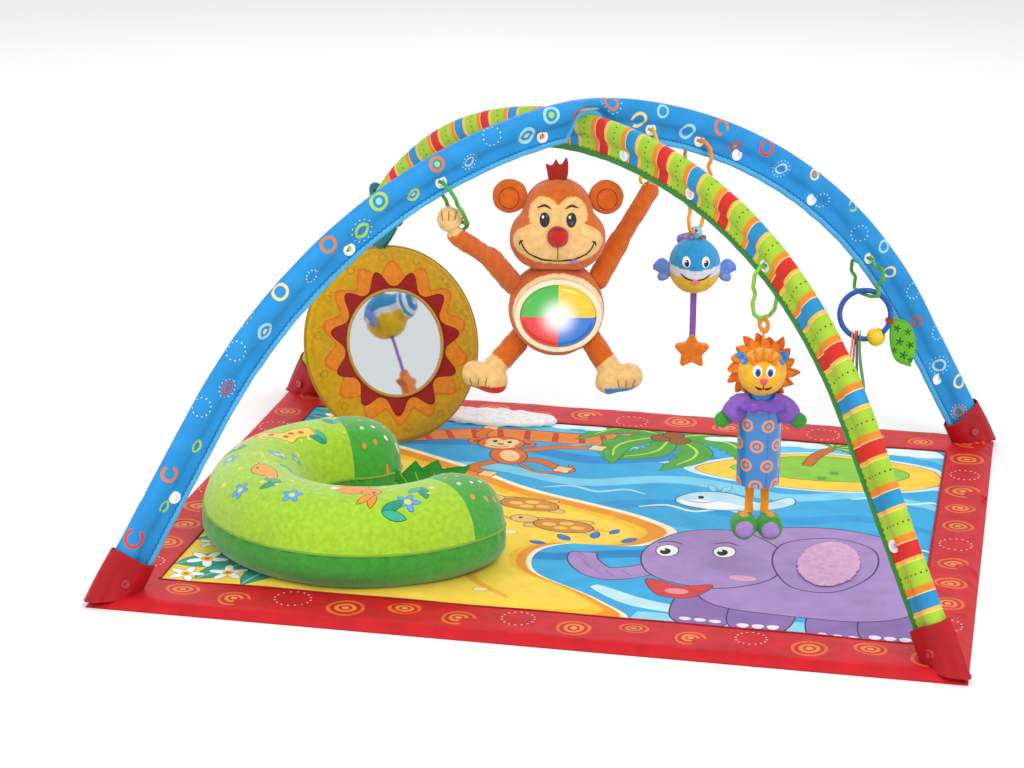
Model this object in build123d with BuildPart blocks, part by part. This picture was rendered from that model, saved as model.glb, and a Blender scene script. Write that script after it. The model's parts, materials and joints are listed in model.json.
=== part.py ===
"""Activity play gym: a padded mat with two crossed soft arches that carry hanging toys.

Frame, in millimetres: +X to the right, +Y to the back, +Z up, and the origin on the
ground under the middle of the mat. The arches stand over the mat's two diagonals.
"""
from build123d import *
import math
import os

# ---- driving dimensions, mm ----
mat_width = 1000.0
mat_depth = 850.0
mat_corner = 8.0
mat_height = 10.0
cloth = 1.5
border_side = 62.0
border_front = 85.0

band_depth = 50.0
band_thickness = 17.0
channel_depth = 26.0
flange_thickness = 3.0
binding_depth = 6.0
eyelet_inset = 34.0
eyelet_bore = 4.5
rod_radius = 5.0
rod_inset = 9.0

wire = 2.4
link_length = 60.0
gap = 0.3

os.makedirs("parts", exist_ok=True)


def save(piece, name):
    """Label a finished piece and write it to its own STEP file."""
    if not piece.is_valid:
        print("invalid", name)
    piece.label = name
    export_step(piece, f"parts/{name}.step")


def joined(*pieces):
    """Separate solids kept side by side in one node."""
    return Compound(children=list(pieces))


def limb(start, end, radius):
    """Straight soft limb with round ends."""
    start = Vector(*start)
    end = Vector(*end)
    with BuildPart() as piece:
        with BuildSketch(Plane(origin=start, z_dir=end - start)):
            Circle(radius)
        extrude(amount=(end - start).length)
        with Locations(start, end):
            Sphere(radius)
    return piece.part


def stuffed(origin, axis, radius, half_length):
    """Stuffed round form on an axis: a puck with round edges, or a long round pod."""
    origin = Vector(*origin)
    base = Plane(origin=origin, z_dir=axis)
    if half_length > radius:
        reach = base.z_dir * (half_length - radius)
        return limb(origin - reach, origin + reach, radius)
    with BuildPart() as puck:
        with BuildSketch(base):
            Circle(radius)
        extrude(amount=half_length, both=True)
        fillet(puck.edges().filter_by(GeomType.CIRCLE), half_length * 0.9)
    return puck.part


# ======================= arches =======================
class Arch:
    """Outer line of an arch: a crown arc, two shoulder arcs and two straight legs."""

    def __init__(self, direction, crown, crown_radius, crown_angle, side_radius, side_angle):
        self.direction = direction.normalized()
        self.normal = self.direction.cross(Vector(0, 0, 1))
        self.crown_angle = math.radians(crown_angle)
        self.side_angle = math.radians(side_angle)
        self.crown_radius = crown_radius
        self.side_radius = side_radius
        self.crown_centre = (0.0, crown - crown_radius)
        shift = crown_radius - side_radius
        self.side_centre = (
            shift * math.sin(self.crown_angle),
            crown - crown_radius + shift * math.cos(self.crown_angle),
        )
        self.crown_length = crown_radius * self.crown_angle
        self.leg_start = self.crown_length + side_radius * (self.side_angle - self.crown_angle)

    def station(self, length, inset=0.0):
        """Point and downhill direction, a given length from the crown along the outer line."""
        side = 1.0 if length >= 0 else -1.0
        run = abs(length)
        beyond = 0.0
        if run <= self.crown_length:
            angle = run / self.crown_radius
            centre, radius = self.crown_centre, self.crown_radius
        elif run <= self.leg_start:
            angle = self.crown_angle + (run - self.crown_length) / self.side_radius
            centre, radius = self.side_centre, self.side_radius
        else:
            angle = self.side_angle
            centre, radius = self.side_centre, self.side_radius
            beyond = run - self.leg_start
        across = centre[0] + (radius - inset) * math.sin(angle) + beyond * math.cos(angle)
        height = centre[1] + (radius - inset) * math.cos(angle) - beyond * math.sin(angle)
        point = self.direction * (side * across) + Vector(0, 0, height)
        downhill = self.direction * (side * math.cos(angle)) - Vector(0, 0, math.sin(angle))
        return point, downhill

    def length_at(self, height, inset=0.0):
        """Length along the outer line at which the leg passes a height."""
        start, _ = self.station(self.leg_start, inset)
        return self.leg_start + (start.Z - height) / math.sin(self.side_angle)

    def section(self, length):
        """Plane across the band: x through its thickness, y towards the arch's inside."""
        point, downhill = self.station(length)
        uphill = downhill * (-1 if length < 0 else 1)
        if length < 0:
            return Plane(origin=point, x_dir=self.normal, z_dir=uphill)
        return Plane(origin=point, x_dir=self.normal * -1, z_dir=downhill * -1)

    def line(self, first, last):
        """Outer line between two lengths, as tangent arcs and straight legs."""
        marks = [-self.leg_start, -self.crown_length, self.crown_length, self.leg_start]
        stops = [first] + [mark for mark in marks if first < mark < last] + [last]
        with BuildLine() as path:
            for low, high in zip(stops, stops[1:]):
                start = self.station(low)[0]
                end = self.station(high)[0]
                middle = self.station((low + high) / 2)[0]
                if min(abs(low), abs(high)) >= self.leg_start - 0.001 and low * high > 0:
                    Line(start, end)
                else:
                    ThreePointArc(start, middle, end)
        return path.line


blue = Arch(Vector(mat_width, mat_depth, 0), 534.0, 360.0, 10.0, 678.0, 58.3)
green = Arch(Vector(mat_width, -mat_depth, 0), 516.0, 690.0, 19.2, 508.0, 58.2)
blue_eyelets = [-732, -365, -220, -70, 97, 175, 239, 382, 519, 745]
green_eyelets = [-721, -354, -202, -75, 75, 202, 354, 721]
sleeve_foot = 40.0
rod_foot = 17.0
crossing_gap = 13.0


def arch_band(arch, foot, depth_from, depth_to, thickness):
    """Solid band along the arch, between two depths below its outer line."""
    end = arch.length_at(foot)
    with BuildPart() as band:
        with BuildSketch(arch.section(-end)):
            with Locations((0, (depth_from + depth_to) / 2)):
                Rectangle(thickness, depth_to - depth_from)
        sweep(path=arch.line(-end, end))
    return band.part


def arch_rod(arch, first, last, radius, bore):
    """Length of curved tube that follows the arch's rod channel."""
    with BuildPart() as tube:
        with BuildSketch(arch.section(first)):
            with Locations((0, rod_inset)):
                Circle(radius)
                Circle(bore, mode=Mode.SUBTRACT)
        sweep(path=arch.line(first, last))
    return tube.part


def eyelet_plane(arch, length):
    """Plane at an eyelet: z along the bore, y uphill out of the arch."""
    point, downhill = arch.station(length, eyelet_inset)
    return Plane(origin=point, x_dir=downhill, z_dir=arch.normal)


def arch_sleeve(arch, eyelets):
    """Cloth sleeve: a hollow rod channel with a flat flange that holds the eyelets."""
    end = arch.length_at(sleeve_foot)
    path = arch.line(-end, end)
    with BuildPart() as sleeve:
        with BuildSketch(arch.section(-end)):
            with Locations((0, channel_depth / 2)):
                RectangleRounded(band_thickness, channel_depth, 7.0)
            with Locations((0, (channel_depth + band_depth - binding_depth) / 2 - 1)):
                Rectangle(flange_thickness, band_depth - binding_depth - channel_depth + 2)
            with Locations((0, channel_depth / 2)):
                RectangleRounded(
                    band_thickness - 2 * cloth, channel_depth - 2 * cloth, 5.5, mode=Mode.SUBTRACT
                )
        sweep(path=path)
        for length in eyelets:
            with BuildSketch(eyelet_plane(arch, length)):
                Circle(eyelet_bore + 1.0)
            extrude(amount=flange_thickness, both=True, mode=Mode.SUBTRACT)
    return sleeve.part


def eyelet(arch, length):
    """Grommet: a short barrel through the flange with a rim on each face."""
    plane = eyelet_plane(arch, length)
    half = flange_thickness / 2
    with BuildPart() as grommet:
        with BuildSketch(plane.offset(-half - 1.0)):
            Circle(eyelet_bore + 3.0)
            Circle(eyelet_bore, mode=Mode.SUBTRACT)
        extrude(amount=1.0)
        with BuildSketch(plane.offset(half)):
            Circle(eyelet_bore + 3.0)
            Circle(eyelet_bore, mode=Mode.SUBTRACT)
        extrude(amount=1.0)
        with BuildSketch(plane.offset(-half)):
            Circle(eyelet_bore + 1.0)
            Circle(eyelet_bore, mode=Mode.SUBTRACT)
        extrude(amount=2 * half)
    return grommet.part


crossing_plane = Plane(origin=(0, 0, 0), x_dir=blue.direction, z_dir=(0, 0, 1))
with BuildPart() as crossing:
    with BuildSketch(crossing_plane.offset(400)):
        Rectangle(2 * crossing_gap, 60)
    extrude(amount=517.5 - 400)

blue_sleeve = arch_sleeve(blue, blue_eyelets) - crossing.part
green_sleeve = arch_sleeve(green, green_eyelets)
save(blue_sleeve, "blue_arch_sleeve")
save(green_sleeve, "green_arch_sleeve")
blue_binding = arch_band(
    blue, sleeve_foot, band_depth - binding_depth, band_depth, flange_thickness + 2
)
save(blue_binding - crossing.part, "blue_arch_binding")
green_binding = arch_band(
    green, sleeve_foot, band_depth - binding_depth, band_depth, flange_thickness + 2
)
save(green_binding, "green_arch_binding")

grommets = [eyelet(blue, length) for length in blue_eyelets]
grommets += [eyelet(green, length) for length in green_eyelets]
save(joined(*grommets), "eyelets")

rods = []
ferrules = []
tips = []
for arch in (blue, green):
    end = arch.length_at(rod_foot, rod_inset)
    joint = end / 3
    for first, last in ((-end, -joint), (-joint, joint), (joint, end)):
        rods.append(arch_rod(arch, first, last, rod_radius, rod_radius - 1.5))
    for middle in (-joint, joint):
        ferrules.append(arch_rod(arch, middle - 25, middle + 25, rod_radius + 1.0, rod_radius))
    for side in (-1, 1):
        foot, downhill = arch.station(side * end, rod_inset)
        with BuildPart() as tip:
            with BuildSketch(Plane(origin=foot - downhill * 18, z_dir=downhill)):
                Circle(rod_radius + 1.5)
                Circle(rod_radius, mode=Mode.SUBTRACT)
            extrude(amount=18)
            with BuildSketch(Plane(origin=foot, z_dir=downhill)):
                Circle(rod_radius + 1.5)
            extrude(amount=2)
        tips.append(tip.part)
save(joined(*rods), "arch_rods")
save(joined(*ferrules), "rod_ferrules")
save(joined(*tips), "rod_tips")

# ======================= mat =======================
with BuildPart() as mat_backing:
    with BuildSketch():
        RectangleRounded(mat_width, mat_depth, mat_corner)
    extrude(amount=cloth)
save(mat_backing.part, "mat_backing")

with BuildPart() as mat_batting:
    with BuildSketch(Plane.XY.offset(cloth)):
        RectangleRounded(mat_width - 2 * cloth, mat_depth - 2 * cloth, mat_corner - cloth)
    extrude(amount=mat_height - 2 * cloth)
save(mat_batting.part, "mat_batting")

panel_width = mat_width - 2 * border_side
panel_depth = mat_depth - 2 * border_front
with BuildPart() as mat_panel:
    with BuildSketch(Plane.XY.offset(mat_height - cloth)):
        Rectangle(panel_width, panel_depth)
    extrude(amount=cloth)
save(mat_panel.part, "mat_panel")

with BuildPart() as mat_border:
    with BuildSketch(Plane.XY.offset(cloth)):
        RectangleRounded(mat_width, mat_depth, mat_corner)
        RectangleRounded(
            mat_width - 2 * cloth, mat_depth - 2 * cloth, mat_corner - cloth, mode=Mode.SUBTRACT
        )
    extrude(amount=mat_height - cloth)
    with BuildSketch(Plane.XY.offset(mat_height - cloth)):
        RectangleRounded(mat_width, mat_depth, mat_corner)
        Rectangle(panel_width, panel_depth, mode=Mode.SUBTRACT)
    extrude(amount=cloth)
save(mat_border.part, "mat_border")

with BuildPart() as cloud_patch:
    with BuildSketch(Plane.XY.offset(mat_height)):
        with Locations((-180, 335)):
            Ellipse(88, 34)
    extrude(amount=7)
    fillet(cloud_patch.faces().sort_by(Axis.Z)[-1].edges(), 4)
with BuildPart() as ear_patch:
    with BuildSketch(Plane.XY.offset(mat_height)):
        with Locations((323, -122)):
            Ellipse(38, 76)
    extrude(amount=2)
save(joined(cloud_patch.part, ear_patch.part), "soft_patches")

pocket_wall = 1.8
pocket_height = 62.0
with BuildPart() as mat_outline:
    with BuildSketch(Plane.XY.offset(mat_height)):
        RectangleRounded(mat_width, mat_depth, mat_corner)
    extrude(amount=150)
pockets = []
snaps = []
for arch in (blue, green):
    for side in (-1, 1):
        top = arch.length_at(pocket_height)
        start = arch.section(side * (top + 120))
        depth = band_depth + 5.0
        inner = (band_thickness + 3.0, depth)
        outer = (inner[0] + 2 * pocket_wall, depth + 2 * pocket_wall)
        with BuildPart() as pocket:
            with BuildSketch(start):
                with Locations((0, band_depth / 2)):
                    RectangleRounded(outer[0], outer[1], 8)
                    RectangleRounded(inner[0], inner[1], 6.5, mode=Mode.SUBTRACT)
            extrude(amount=120)
            add(mat_outline.part, mode=Mode.INTERSECT)
        pockets.append(pocket.part)
        spot, downhill = arch.station(side * (top + 22), band_depth / 2)
        with BuildPart() as snap:
            with BuildSketch(Plane(origin=spot + arch.normal * (outer[0] / 2), z_dir=arch.normal)):
                Circle(6)
            extrude(amount=2.5)
        snaps.append(snap.part)
save(joined(*pockets), "corner_pockets")
save(joined(*snaps), "pocket_snaps")


# ======================= link rings =======================
def toy_link(plane, outline, bend=6.0):
    """Closed wavy ring of round wire; its top wire lies on the plane's origin."""
    corners = [plane.from_local_coords(Vector(x, y, 0)) for x, y in outline]
    corners += [plane.from_local_coords(Vector(-x, y, 0)) for x, y in reversed(outline)]
    with BuildPart() as ring:
        with BuildLine() as path:
            FilletPolyline(*corners, radius=bend, close=True)
        start = path.line @ 0.0
        with BuildSketch(Plane(origin=start, z_dir=path.line % 0.0)):
            Circle(wire)
        sweep(path=path.line)
    return ring.part


def hanging_plane(origin, across, down):
    """Plane of a link: x along the wire that hangs it, y away from its lower end."""
    across = across.normalized()
    return Plane(origin=origin, x_dir=across, z_dir=across.cross(down * -1))


def turned(direction, degrees):
    """A level direction turned about +Z."""
    return direction.rotate(Axis.Z, degrees)


straight = [(9, 0), (17, -8), (19, -22), (14.5, -31), (19, -40), (16, -54), (8, -link_length)]
flower = [(9, 0), (15, -10), (30, -8), (31, -24), (22, -30), (24, -46), (9, -50)]
down = Vector(0, 0, -1)

# ======================= monkey =======================
turn = math.radians(11.0)
monkey = Plane(
    origin=(-30, -25, 285),
    x_dir=(math.cos(turn), math.sin(turn), 0),
    z_dir=(math.sin(turn), -math.cos(turn), 0),
)


def on_monkey(across, up, out=0.0):
    """Point in the monkey's own frame: right, up and towards its face."""
    return monkey.from_local_coords(Vector(across, up, out))


def monkey_plane(across, up, out=0.0):
    """Plane facing the way the monkey faces, at a point in its own frame."""
    return Plane(origin=on_monkey(across, up, out), x_dir=monkey.x_dir, z_dir=monkey.z_dir)


left_eye = blue.station(blue_eyelets[2], eyelet_inset)[0]
right_eye = blue.station(blue_eyelets[4], eyelet_inset)[0]
left_down = (blue.direction * 0.5 + down * 0.87).normalized()
right_down = (blue.direction * -0.08 + down).normalized()
left_hook = left_eye + left_down * link_length
right_hook = right_eye + right_down * link_length
left_wrist = left_hook - blue.direction * 8 + down * 16
right_wrist = right_hook + blue.direction * 8 + down * 16
save(toy_link(hanging_plane(left_eye, blue.normal, left_down), straight), "monkey_link_green")
save(toy_link(hanging_plane(right_eye, blue.normal, right_down), straight), "monkey_link_yellow")

module = monkey_plane(2, -5)
with BuildPart() as module_space:
    with BuildSketch(module.offset(-16)):
        Ellipse(49, 42)
    extrude(amount=64)
skull = stuffed(on_monkey(0, 112, -2), monkey.z_dir, 42.5, 38)
muzzle = stuffed(on_monkey(0, 84, 8), monkey.x_dir, 38.5, 58)
torso = stuffed(on_monkey(0, -6), monkey.z_dir, 58, 41) - muzzle - skull - module_space.part
head = skull + muzzle

nose = stuffed(on_monkey(0, 94, 46), monkey.z_dir, 13, 8) - head
ears = [stuffed(on_monkey(side * 58, 133), monkey.z_dir, 21, 8) - head for side in (-1, 1)]
with BuildPart() as tuft:
    with BuildSketch(monkey_plane(0, 150, -5)):
        with BuildLine():
            Polyline((-9, -6), (-16, 24), (-8, 19), (-3, 30), (2, 19), (10, 32), (12, 20), (9, -6),
                     close=True)
        make_face()
    extrude(amount=10)
head_trim = joined(nose, *ears, tuft.part - head)
save(head, "monkey_head")
save(head_trim, "monkey_head_trim")

arms = []
arm_routes = [
    [on_monkey(-52, 24, 6), on_monkey(-80, 64, 34), left_wrist],
    [on_monkey(50, 28, -6), on_monkey(76, 72, -28), right_wrist],
]
left_palm = left_hook - blue.direction * 18 - down * 6
right_palm = right_hook + blue.direction * 18 - down * 8
hands = [stuffed(palm, blue.normal, 15, 10) for palm in (left_palm, right_palm)]
for route, hand in zip(arm_routes, hands):
    arm = limb(route[0], route[1], 13) + limb(route[1], route[2], 11) + hand
    arms.append(arm - torso - head - module_space.part)
save(joined(*arms), "monkey_arms")

legs = []
for side, spread, foot_turn in ((-1, 74, -20), (1, 66, 14)):
    hip = on_monkey(side * 38, -38, 4)
    ankle = on_monkey(side * spread, -78, 14)
    foot_axis = monkey.x_dir.rotate(Axis(monkey.origin, monkey.z_dir), foot_turn)
    foot = stuffed(on_monkey(side * (spread + 12), -90, 20), foot_axis, 16, 29)
    leg = limb(hip, ankle, 14) + foot
    legs.append(leg - torso - module_space.part)
save(joined(*legs), "monkey_legs")


loop_bore = 6.0
loop_outer = 7.8


def wrist_loop(hook, wrist):
    """Cloth loop round a link's lower wire, sewn to the wrist by a short tab."""
    centre = hook + Vector(0, 0, -1.9)
    face = Plane(origin=centre, x_dir=blue.direction, z_dir=blue.normal)
    reach = (wrist - centre).length
    tab = Plane(origin=centre, x_dir=blue.normal, z_dir=wrist - centre)
    with BuildPart() as loop:
        with BuildSketch(face):
            Circle(loop_outer)
        extrude(amount=4, both=True)
        with BuildSketch(tab.offset(loop_bore + 0.4)):
            Rectangle(8, 3)
        extrude(amount=reach - loop_bore - 0.4)
        with BuildSketch(face):
            Circle(loop_bore)
        extrude(amount=10, both=True, mode=Mode.SUBTRACT)
    return loop.part


loops = []
for hook, wrist, arm in ((left_hook, left_wrist, arms[0]), (right_hook, right_wrist, arms[1])):
    loops.append(wrist_loop(hook, wrist) - arm)
save(joined(*loops), "monkey_wrist_loops")

with BuildPart() as light_housing:
    with BuildSketch(module.offset(-10)):
        Ellipse(48, 41)
    extrude(amount=46)
    with BuildSketch(module.offset(36)):
        Ellipse(52, 45)
    extrude(amount=6)
    with BuildSketch(module.offset(-6)):
        Ellipse(46, 39)
    extrude(amount=60, mode=Mode.SUBTRACT)
    with BuildSketch(module.offset(-10)):
        Rectangle(58, 50)
    extrude(amount=4, mode=Mode.SUBTRACT)
torso = torso - light_housing.part
save(torso, "monkey_torso")
save(light_housing.part, "light_housing")

with BuildPart() as battery_door:
    with BuildSketch(module.offset(-10)):
        Rectangle(58, 50)
    extrude(amount=2.5)
    with BuildSketch(module.offset(-7.5)):
        with Locations((0, 0)):
            Rectangle(62 - 4, 50)
    extrude(amount=1.5)
    with BuildSketch(module.offset(-10)):
        with Locations((0, 21)):
            Circle(1.6)
    extrude(amount=4, mode=Mode.SUBTRACT)
save(battery_door.part, "battery_door")

with BuildPart() as door_screw:
    with BuildSketch(module.offset(-12)):
        with Locations((0, 21)):
            Circle(2.8)
    extrude(amount=2)
    with BuildSketch(module.offset(-10)):
        with Locations((0, 21)):
            Circle(1.5)
    extrude(amount=6)
save(door_screw.part, "battery_door_screw")

cells = []
for place in (-15.5, 0, 15.5):
    cell_start = module.from_local_coords(Vector(place, -25, 2.6))
    with BuildPart() as cell:
        with BuildSketch(Plane(origin=cell_start, z_dir=(0, 0, 1))):
            Circle(7.2)
        extrude(amount=44)
        with BuildSketch(Plane(origin=cell_start + Vector(0, 0, 44), z_dir=(0, 0, 1))):
            Circle(2.6)
        extrude(amount=1.4)
    cells.append(cell.part)
save(joined(*cells), "batteries")

with BuildPart() as circuit_board:
    with BuildSketch(module.offset(19.5)):
        RectangleRounded(66, 46, 3)
    extrude(amount=1.6)
save(circuit_board.part, "circuit_board")

lamps = []
for x, y in ((-16, 12), (16, 12), (-16, -12), (16, -12)):
    with BuildPart() as lamp:
        with BuildSketch(module.offset(21.1)):
            with Locations((x, y)):
                Circle(2.5)
        extrude(amount=5)
        fillet(lamp.faces().sort_by(Axis(module.origin, module.z_dir))[-1].edges(), 2)
    lamps.append(lamp.part)
save(joined(*lamps), "led_lamps")

with BuildPart() as speaker:
    with BuildSketch(module.offset(10.5)):
        Circle(10)
    extrude(amount=4)
    with BuildSketch(module.offset(14.5)):
        Circle(18)
    extrude(amount=4.5)
save(speaker.part, "speaker")

with BuildPart() as light_lens:
    with BuildSketch(module.offset(34)):
        Ellipse(45.4, 38.4)
    extrude(amount=14)
    fillet(light_lens.faces().sort_by(Axis(module.origin, module.z_dir))[-1].edges(), 8)
    with BuildSketch(module.offset(34)):
        Ellipse(43, 36)
    extrude(amount=4, mode=Mode.SUBTRACT)
save(light_lens.part, "light_lens")

with BuildPart() as mode_switch:
    with BuildSketch(module.offset(-14)):
        with Locations((0, -31)):
            RectangleRounded(9, 6, 1.5)
    extrude(amount=4 - gap)
save(mode_switch.part, "mode_switch")

# ======================= whale =======================
whale_eye = blue.station(blue_eyelets[5], eyelet_inset)[0]
loop_drop = link_length - 2 * wire - gap
whale_hook = whale_eye + down * loop_drop
whale_end = whale_hook + down * link_length
link_face = turned(blue.normal, 28)
save(toy_link(hanging_plane(whale_eye, link_face, down), straight), "whale_link_upper")
lower_face = link_face.cross(Vector(0, 0, 1))
save(toy_link(hanging_plane(whale_hook, lower_face, down), straight), "whale_link_lower")

whale_radius = 32.0
whale_centre = Vector(whale_end.X, whale_end.Y, 309.0)
whale = Plane(origin=whale_centre, x_dir=monkey.x_dir, z_dir=monkey.z_dir)
strap_top = whale_end + down * 1.9
with BuildPart() as whale_strap:
    with BuildSketch(Plane(origin=strap_top, x_dir=link_face, z_dir=lower_face)):
        Circle(loop_outer)
    extrude(amount=5, both=True)
    with BuildSketch(Plane(origin=strap_top, x_dir=lower_face, z_dir=down).offset(loop_bore + 0.4)):
        Rectangle(10, 2.4)
    extrude(amount=strap_top.Z - whale_centre.Z - whale_radius - 8)
    with BuildSketch(Plane(origin=strap_top, x_dir=link_face, z_dir=lower_face)):
        Circle(loop_bore)
    extrude(amount=10, both=True, mode=Mode.SUBTRACT)
whale_ball = stuffed(whale_centre, (0, 0, 1), whale_radius, whale_radius + 3)
whale_back = whale.from_local_coords(Vector(0, 3, -26))
whale_form = whale_ball + stuffed(whale_back, whale.z_dir, 22, 30)
save(whale_strap.part - whale_form, "whale_strap")

casing_radius = 16.0
casing_depth = 14.0
with BuildPart() as casing_space:
    with BuildSketch(whale.offset(-casing_depth)):
        Circle(casing_radius)
    extrude(amount=2 * casing_depth)
with BuildPart() as cord_passage:
    with BuildSketch(Plane(origin=whale_centre, x_dir=whale.x_dir, z_dir=down)):
        Rectangle(11, 5)
    extrude(amount=60)
save(whale_form - casing_space.part - cord_passage.part, "whale_body")

with BuildPart() as spring_casing:
    with BuildSketch(whale.offset(-casing_depth)):
        Circle(casing_radius)
    extrude(amount=2 * casing_depth)
    with BuildSketch(whale.offset(-casing_depth + 2)):
        Circle(casing_radius - 2)
    extrude(amount=2 * casing_depth - 4, mode=Mode.SUBTRACT)
    with BuildSketch(whale.offset(-casing_depth + 2)):
        Circle(2.5)
    extrude(amount=2 * casing_depth - 4)
save(spring_casing.part - cord_passage.part, "pull_cord_casing")

drum_radius = 9.0
with BuildPart() as cord_drum:
    with BuildSketch(whale.offset(-casing_depth + 2 + gap)):
        Circle(drum_radius + 3)
    extrude(amount=2)
    with BuildSketch(whale.offset(-casing_depth + 4 + gap)):
        Circle(drum_radius)
    extrude(amount=2 * (casing_depth - 4 - gap))
    with BuildSketch(whale.offset(casing_depth - 4 - gap)):
        Circle(drum_radius + 3)
    extrude(amount=2)
    with BuildSketch(whale.offset(-casing_depth)):
        Circle(2.56)
    extrude(amount=2 * casing_depth, mode=Mode.SUBTRACT)
save(cord_drum.part, "cord_drum")

star_centre = Vector(whale_centre.X, whale_centre.Y, 197.0)
cord_top = whale_centre.Z - drum_radius - gap
with BuildPart() as pull_cord:
    with BuildSketch(Plane(origin=(whale_centre.X, whale_centre.Y, cord_top), x_dir=whale.x_dir,
                           z_dir=down)):
        Rectangle(8, 1.2)
    extrude(amount=cord_top - star_centre.Z - 14)
save(pull_cord.part, "pull_cord")

star_points = []
for step in range(10):
    reach = 25.0 if step % 2 == 0 else 13.0
    angle = math.radians(90 + 36 * step)
    star_points.append((reach * math.cos(angle), reach * math.sin(angle)))
star_plane = Plane(origin=star_centre, x_dir=whale.x_dir, z_dir=whale.z_dir)
with BuildPart() as whale_star:
    with BuildSketch(star_plane):
        with BuildLine():
            Polyline(*star_points, close=True)
        make_face()
        fillet(vertices(), 2.5)
    extrude(amount=6, both=True)
save(whale_star.part - pull_cord.part, "whale_star")

fins = []
for side in (-1, 1):
    fin_spot = whale.from_local_coords(Vector(side * 39, -14, 2))
    fins.append(stuffed(fin_spot, whale.x_dir * side + down * 0.35, 6, 8))
tail = stuffed(whale.from_local_coords(Vector(0, 14, -75.5)), down, 19, 6)
save(joined(*fins, tail), "whale_fins_and_tail")

# ======================= lion =======================
lion_eye = green.station(green_eyelets[6], eyelet_inset)[0]
lion_hook = lion_eye + down * link_length
save(toy_link(hanging_plane(lion_eye, green.normal, down), straight), "lion_link")
lion = Plane(origin=(lion_hook.X, lion_hook.Y, 272), x_dir=monkey.x_dir, z_dir=monkey.z_dir)


def lion_plane(across, up, out=0.0):
    """Plane facing the way the lion faces, at a point in its own frame."""
    return Plane(origin=lion.from_local_coords(Vector(across, up, out)), x_dir=lion.x_dir,
                 z_dir=lion.z_dir)


face = stuffed(lion.from_local_coords(Vector(0, 0, 4)), lion.z_dir, 27.5, 26)
with BuildPart() as mane:
    with BuildSketch(lion_plane(0, 1, -6)):
        with PolarLocations(33, 12):
            Circle(9)
        Circle(34)
    extrude(amount=9)
loop_centre = lion_hook + down * 1.9
with BuildPart() as hanger:
    with BuildSketch(Plane(origin=loop_centre, x_dir=green.direction, z_dir=green.normal)):
        Circle(loop_outer)
    extrude(amount=4, both=True)
    with BuildSketch(Plane(origin=loop_centre, x_dir=green.normal, z_dir=down).offset(loop_bore + 0.4)):
        Rectangle(8, 2.4)
    extrude(amount=loop_centre.Z - loop_bore - 0.4 - 298)
    with BuildSketch(Plane(origin=loop_centre, x_dir=green.direction, z_dir=green.normal)):
        Circle(loop_bore)
    extrude(amount=10, both=True, mode=Mode.SUBTRACT)
save(face, "lion_head")
chime_radius = 25.0
chime_top = 238.0
chime_bottom = 138.0
chime_wall = 1.8
chime_cap = 8.0
stem = Plane(origin=(lion_hook.X, lion_hook.Y, 0))
with BuildPart() as chime_tube:
    with BuildSketch(stem.offset(chime_bottom)):
        Circle(chime_radius)
        Circle(chime_radius - chime_wall, mode=Mode.SUBTRACT)
    extrude(amount=chime_top - chime_bottom)
save(chime_tube.part, "chime_tube")
with BuildPart() as chime_space:
    with BuildSketch(stem.offset(chime_bottom)):
        Circle(chime_radius)
    extrude(amount=chime_top - chime_bottom)
mane_felt = mane.part - face - chime_space.part
hanger_loop = hanger.part - face - mane.part
save(joined(mane_felt, hanger_loop), "lion_mane_and_hanger")
inner = chime_radius - chime_wall
with BuildPart() as lower_cap:
    with BuildSketch(stem.offset(chime_bottom)):
        Circle(inner)
    extrude(amount=chime_cap)
with BuildPart() as upper_cap:
    with BuildSketch(stem.offset(chime_top - chime_cap)):
        Circle(inner)
    extrude(amount=chime_cap)
    with BuildSketch(stem.offset(chime_top)):
        Circle(16)
    extrude(amount=14)
save(joined(lower_cap.part, upper_cap.part - face - mane.part), "chime_caps")

bars = []
for step in range(4):
    angle = math.radians(45 + 90 * step)
    spot = Vector(lion_hook.X + 16.5 * math.cos(angle), lion_hook.Y + 16.5 * math.sin(angle), 0)
    with BuildPart() as bar:
        with BuildSketch(Plane(origin=spot).offset(chime_bottom + 16)):
            Circle(3)
        extrude(amount=chime_top - chime_bottom - chime_cap - 16)
    bars.append(bar.part)
save(joined(*bars), "chime_bars")

striker_top = chime_top - chime_cap - 4
with BuildPart() as striker:
    with BuildSketch(stem.offset(striker_top - 50)):
        Circle(1.2)
    extrude(amount=50)
    with Locations((lion_hook.X, lion_hook.Y, striker_top - 50)):
        Sphere(6.5)
save(striker.part, "chime_striker")

limbs = []
for side in (-1, 1):
    shoulder = lion.from_local_coords(Vector(side * 28, -48, 2))
    mitten = lion.from_local_coords(Vector(side * 44, -58, 6))
    arm = limb(shoulder, mitten, 9)
    limbs.append(arm - chime_space.part - mane.part - face)
for side in (-1, 1):
    with BuildPart() as strap:
        with BuildSketch(lion_plane(side * 9, 0, 0)):
            with Locations((0, -153)):
                Rectangle(10, 38)
        extrude(amount=1.5, both=True)
        split(bisect_by=Plane.XY.offset(chime_bottom), keep=Keep.BOTTOM)
    shoe = stuffed(lion.from_local_coords(Vector(side * 15, -185, 8)), lion.z_dir, 14.5, 20)
    limbs.append(strap.part + shoe)
left_shoe = limbs[-2]
limbs[-2] = left_shoe - limbs[-1]
save(joined(*limbs), "lion_arms_and_legs")

# ======================= ring rattle =======================
rattle_eye = blue.station(blue_eyelets[8], eyelet_inset)[0]
rattle_face = turned(blue.normal, 6)
rattle_hook = rattle_eye + down * 50.0
save(toy_link(hanging_plane(rattle_eye, rattle_face, down), flower, 4.0), "rattle_link")
ring_radius = 33.0
ring_wire = 3.6
ring_centre = rattle_hook - down * (wire + ring_wire + gap) + down * ring_radius
ring_side = turned(rattle_face, 46)
ring_normal = ring_side.cross(Vector(0, 0, 1))
ring_plane = Plane(origin=ring_centre, x_dir=ring_side, z_dir=ring_normal)


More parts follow.
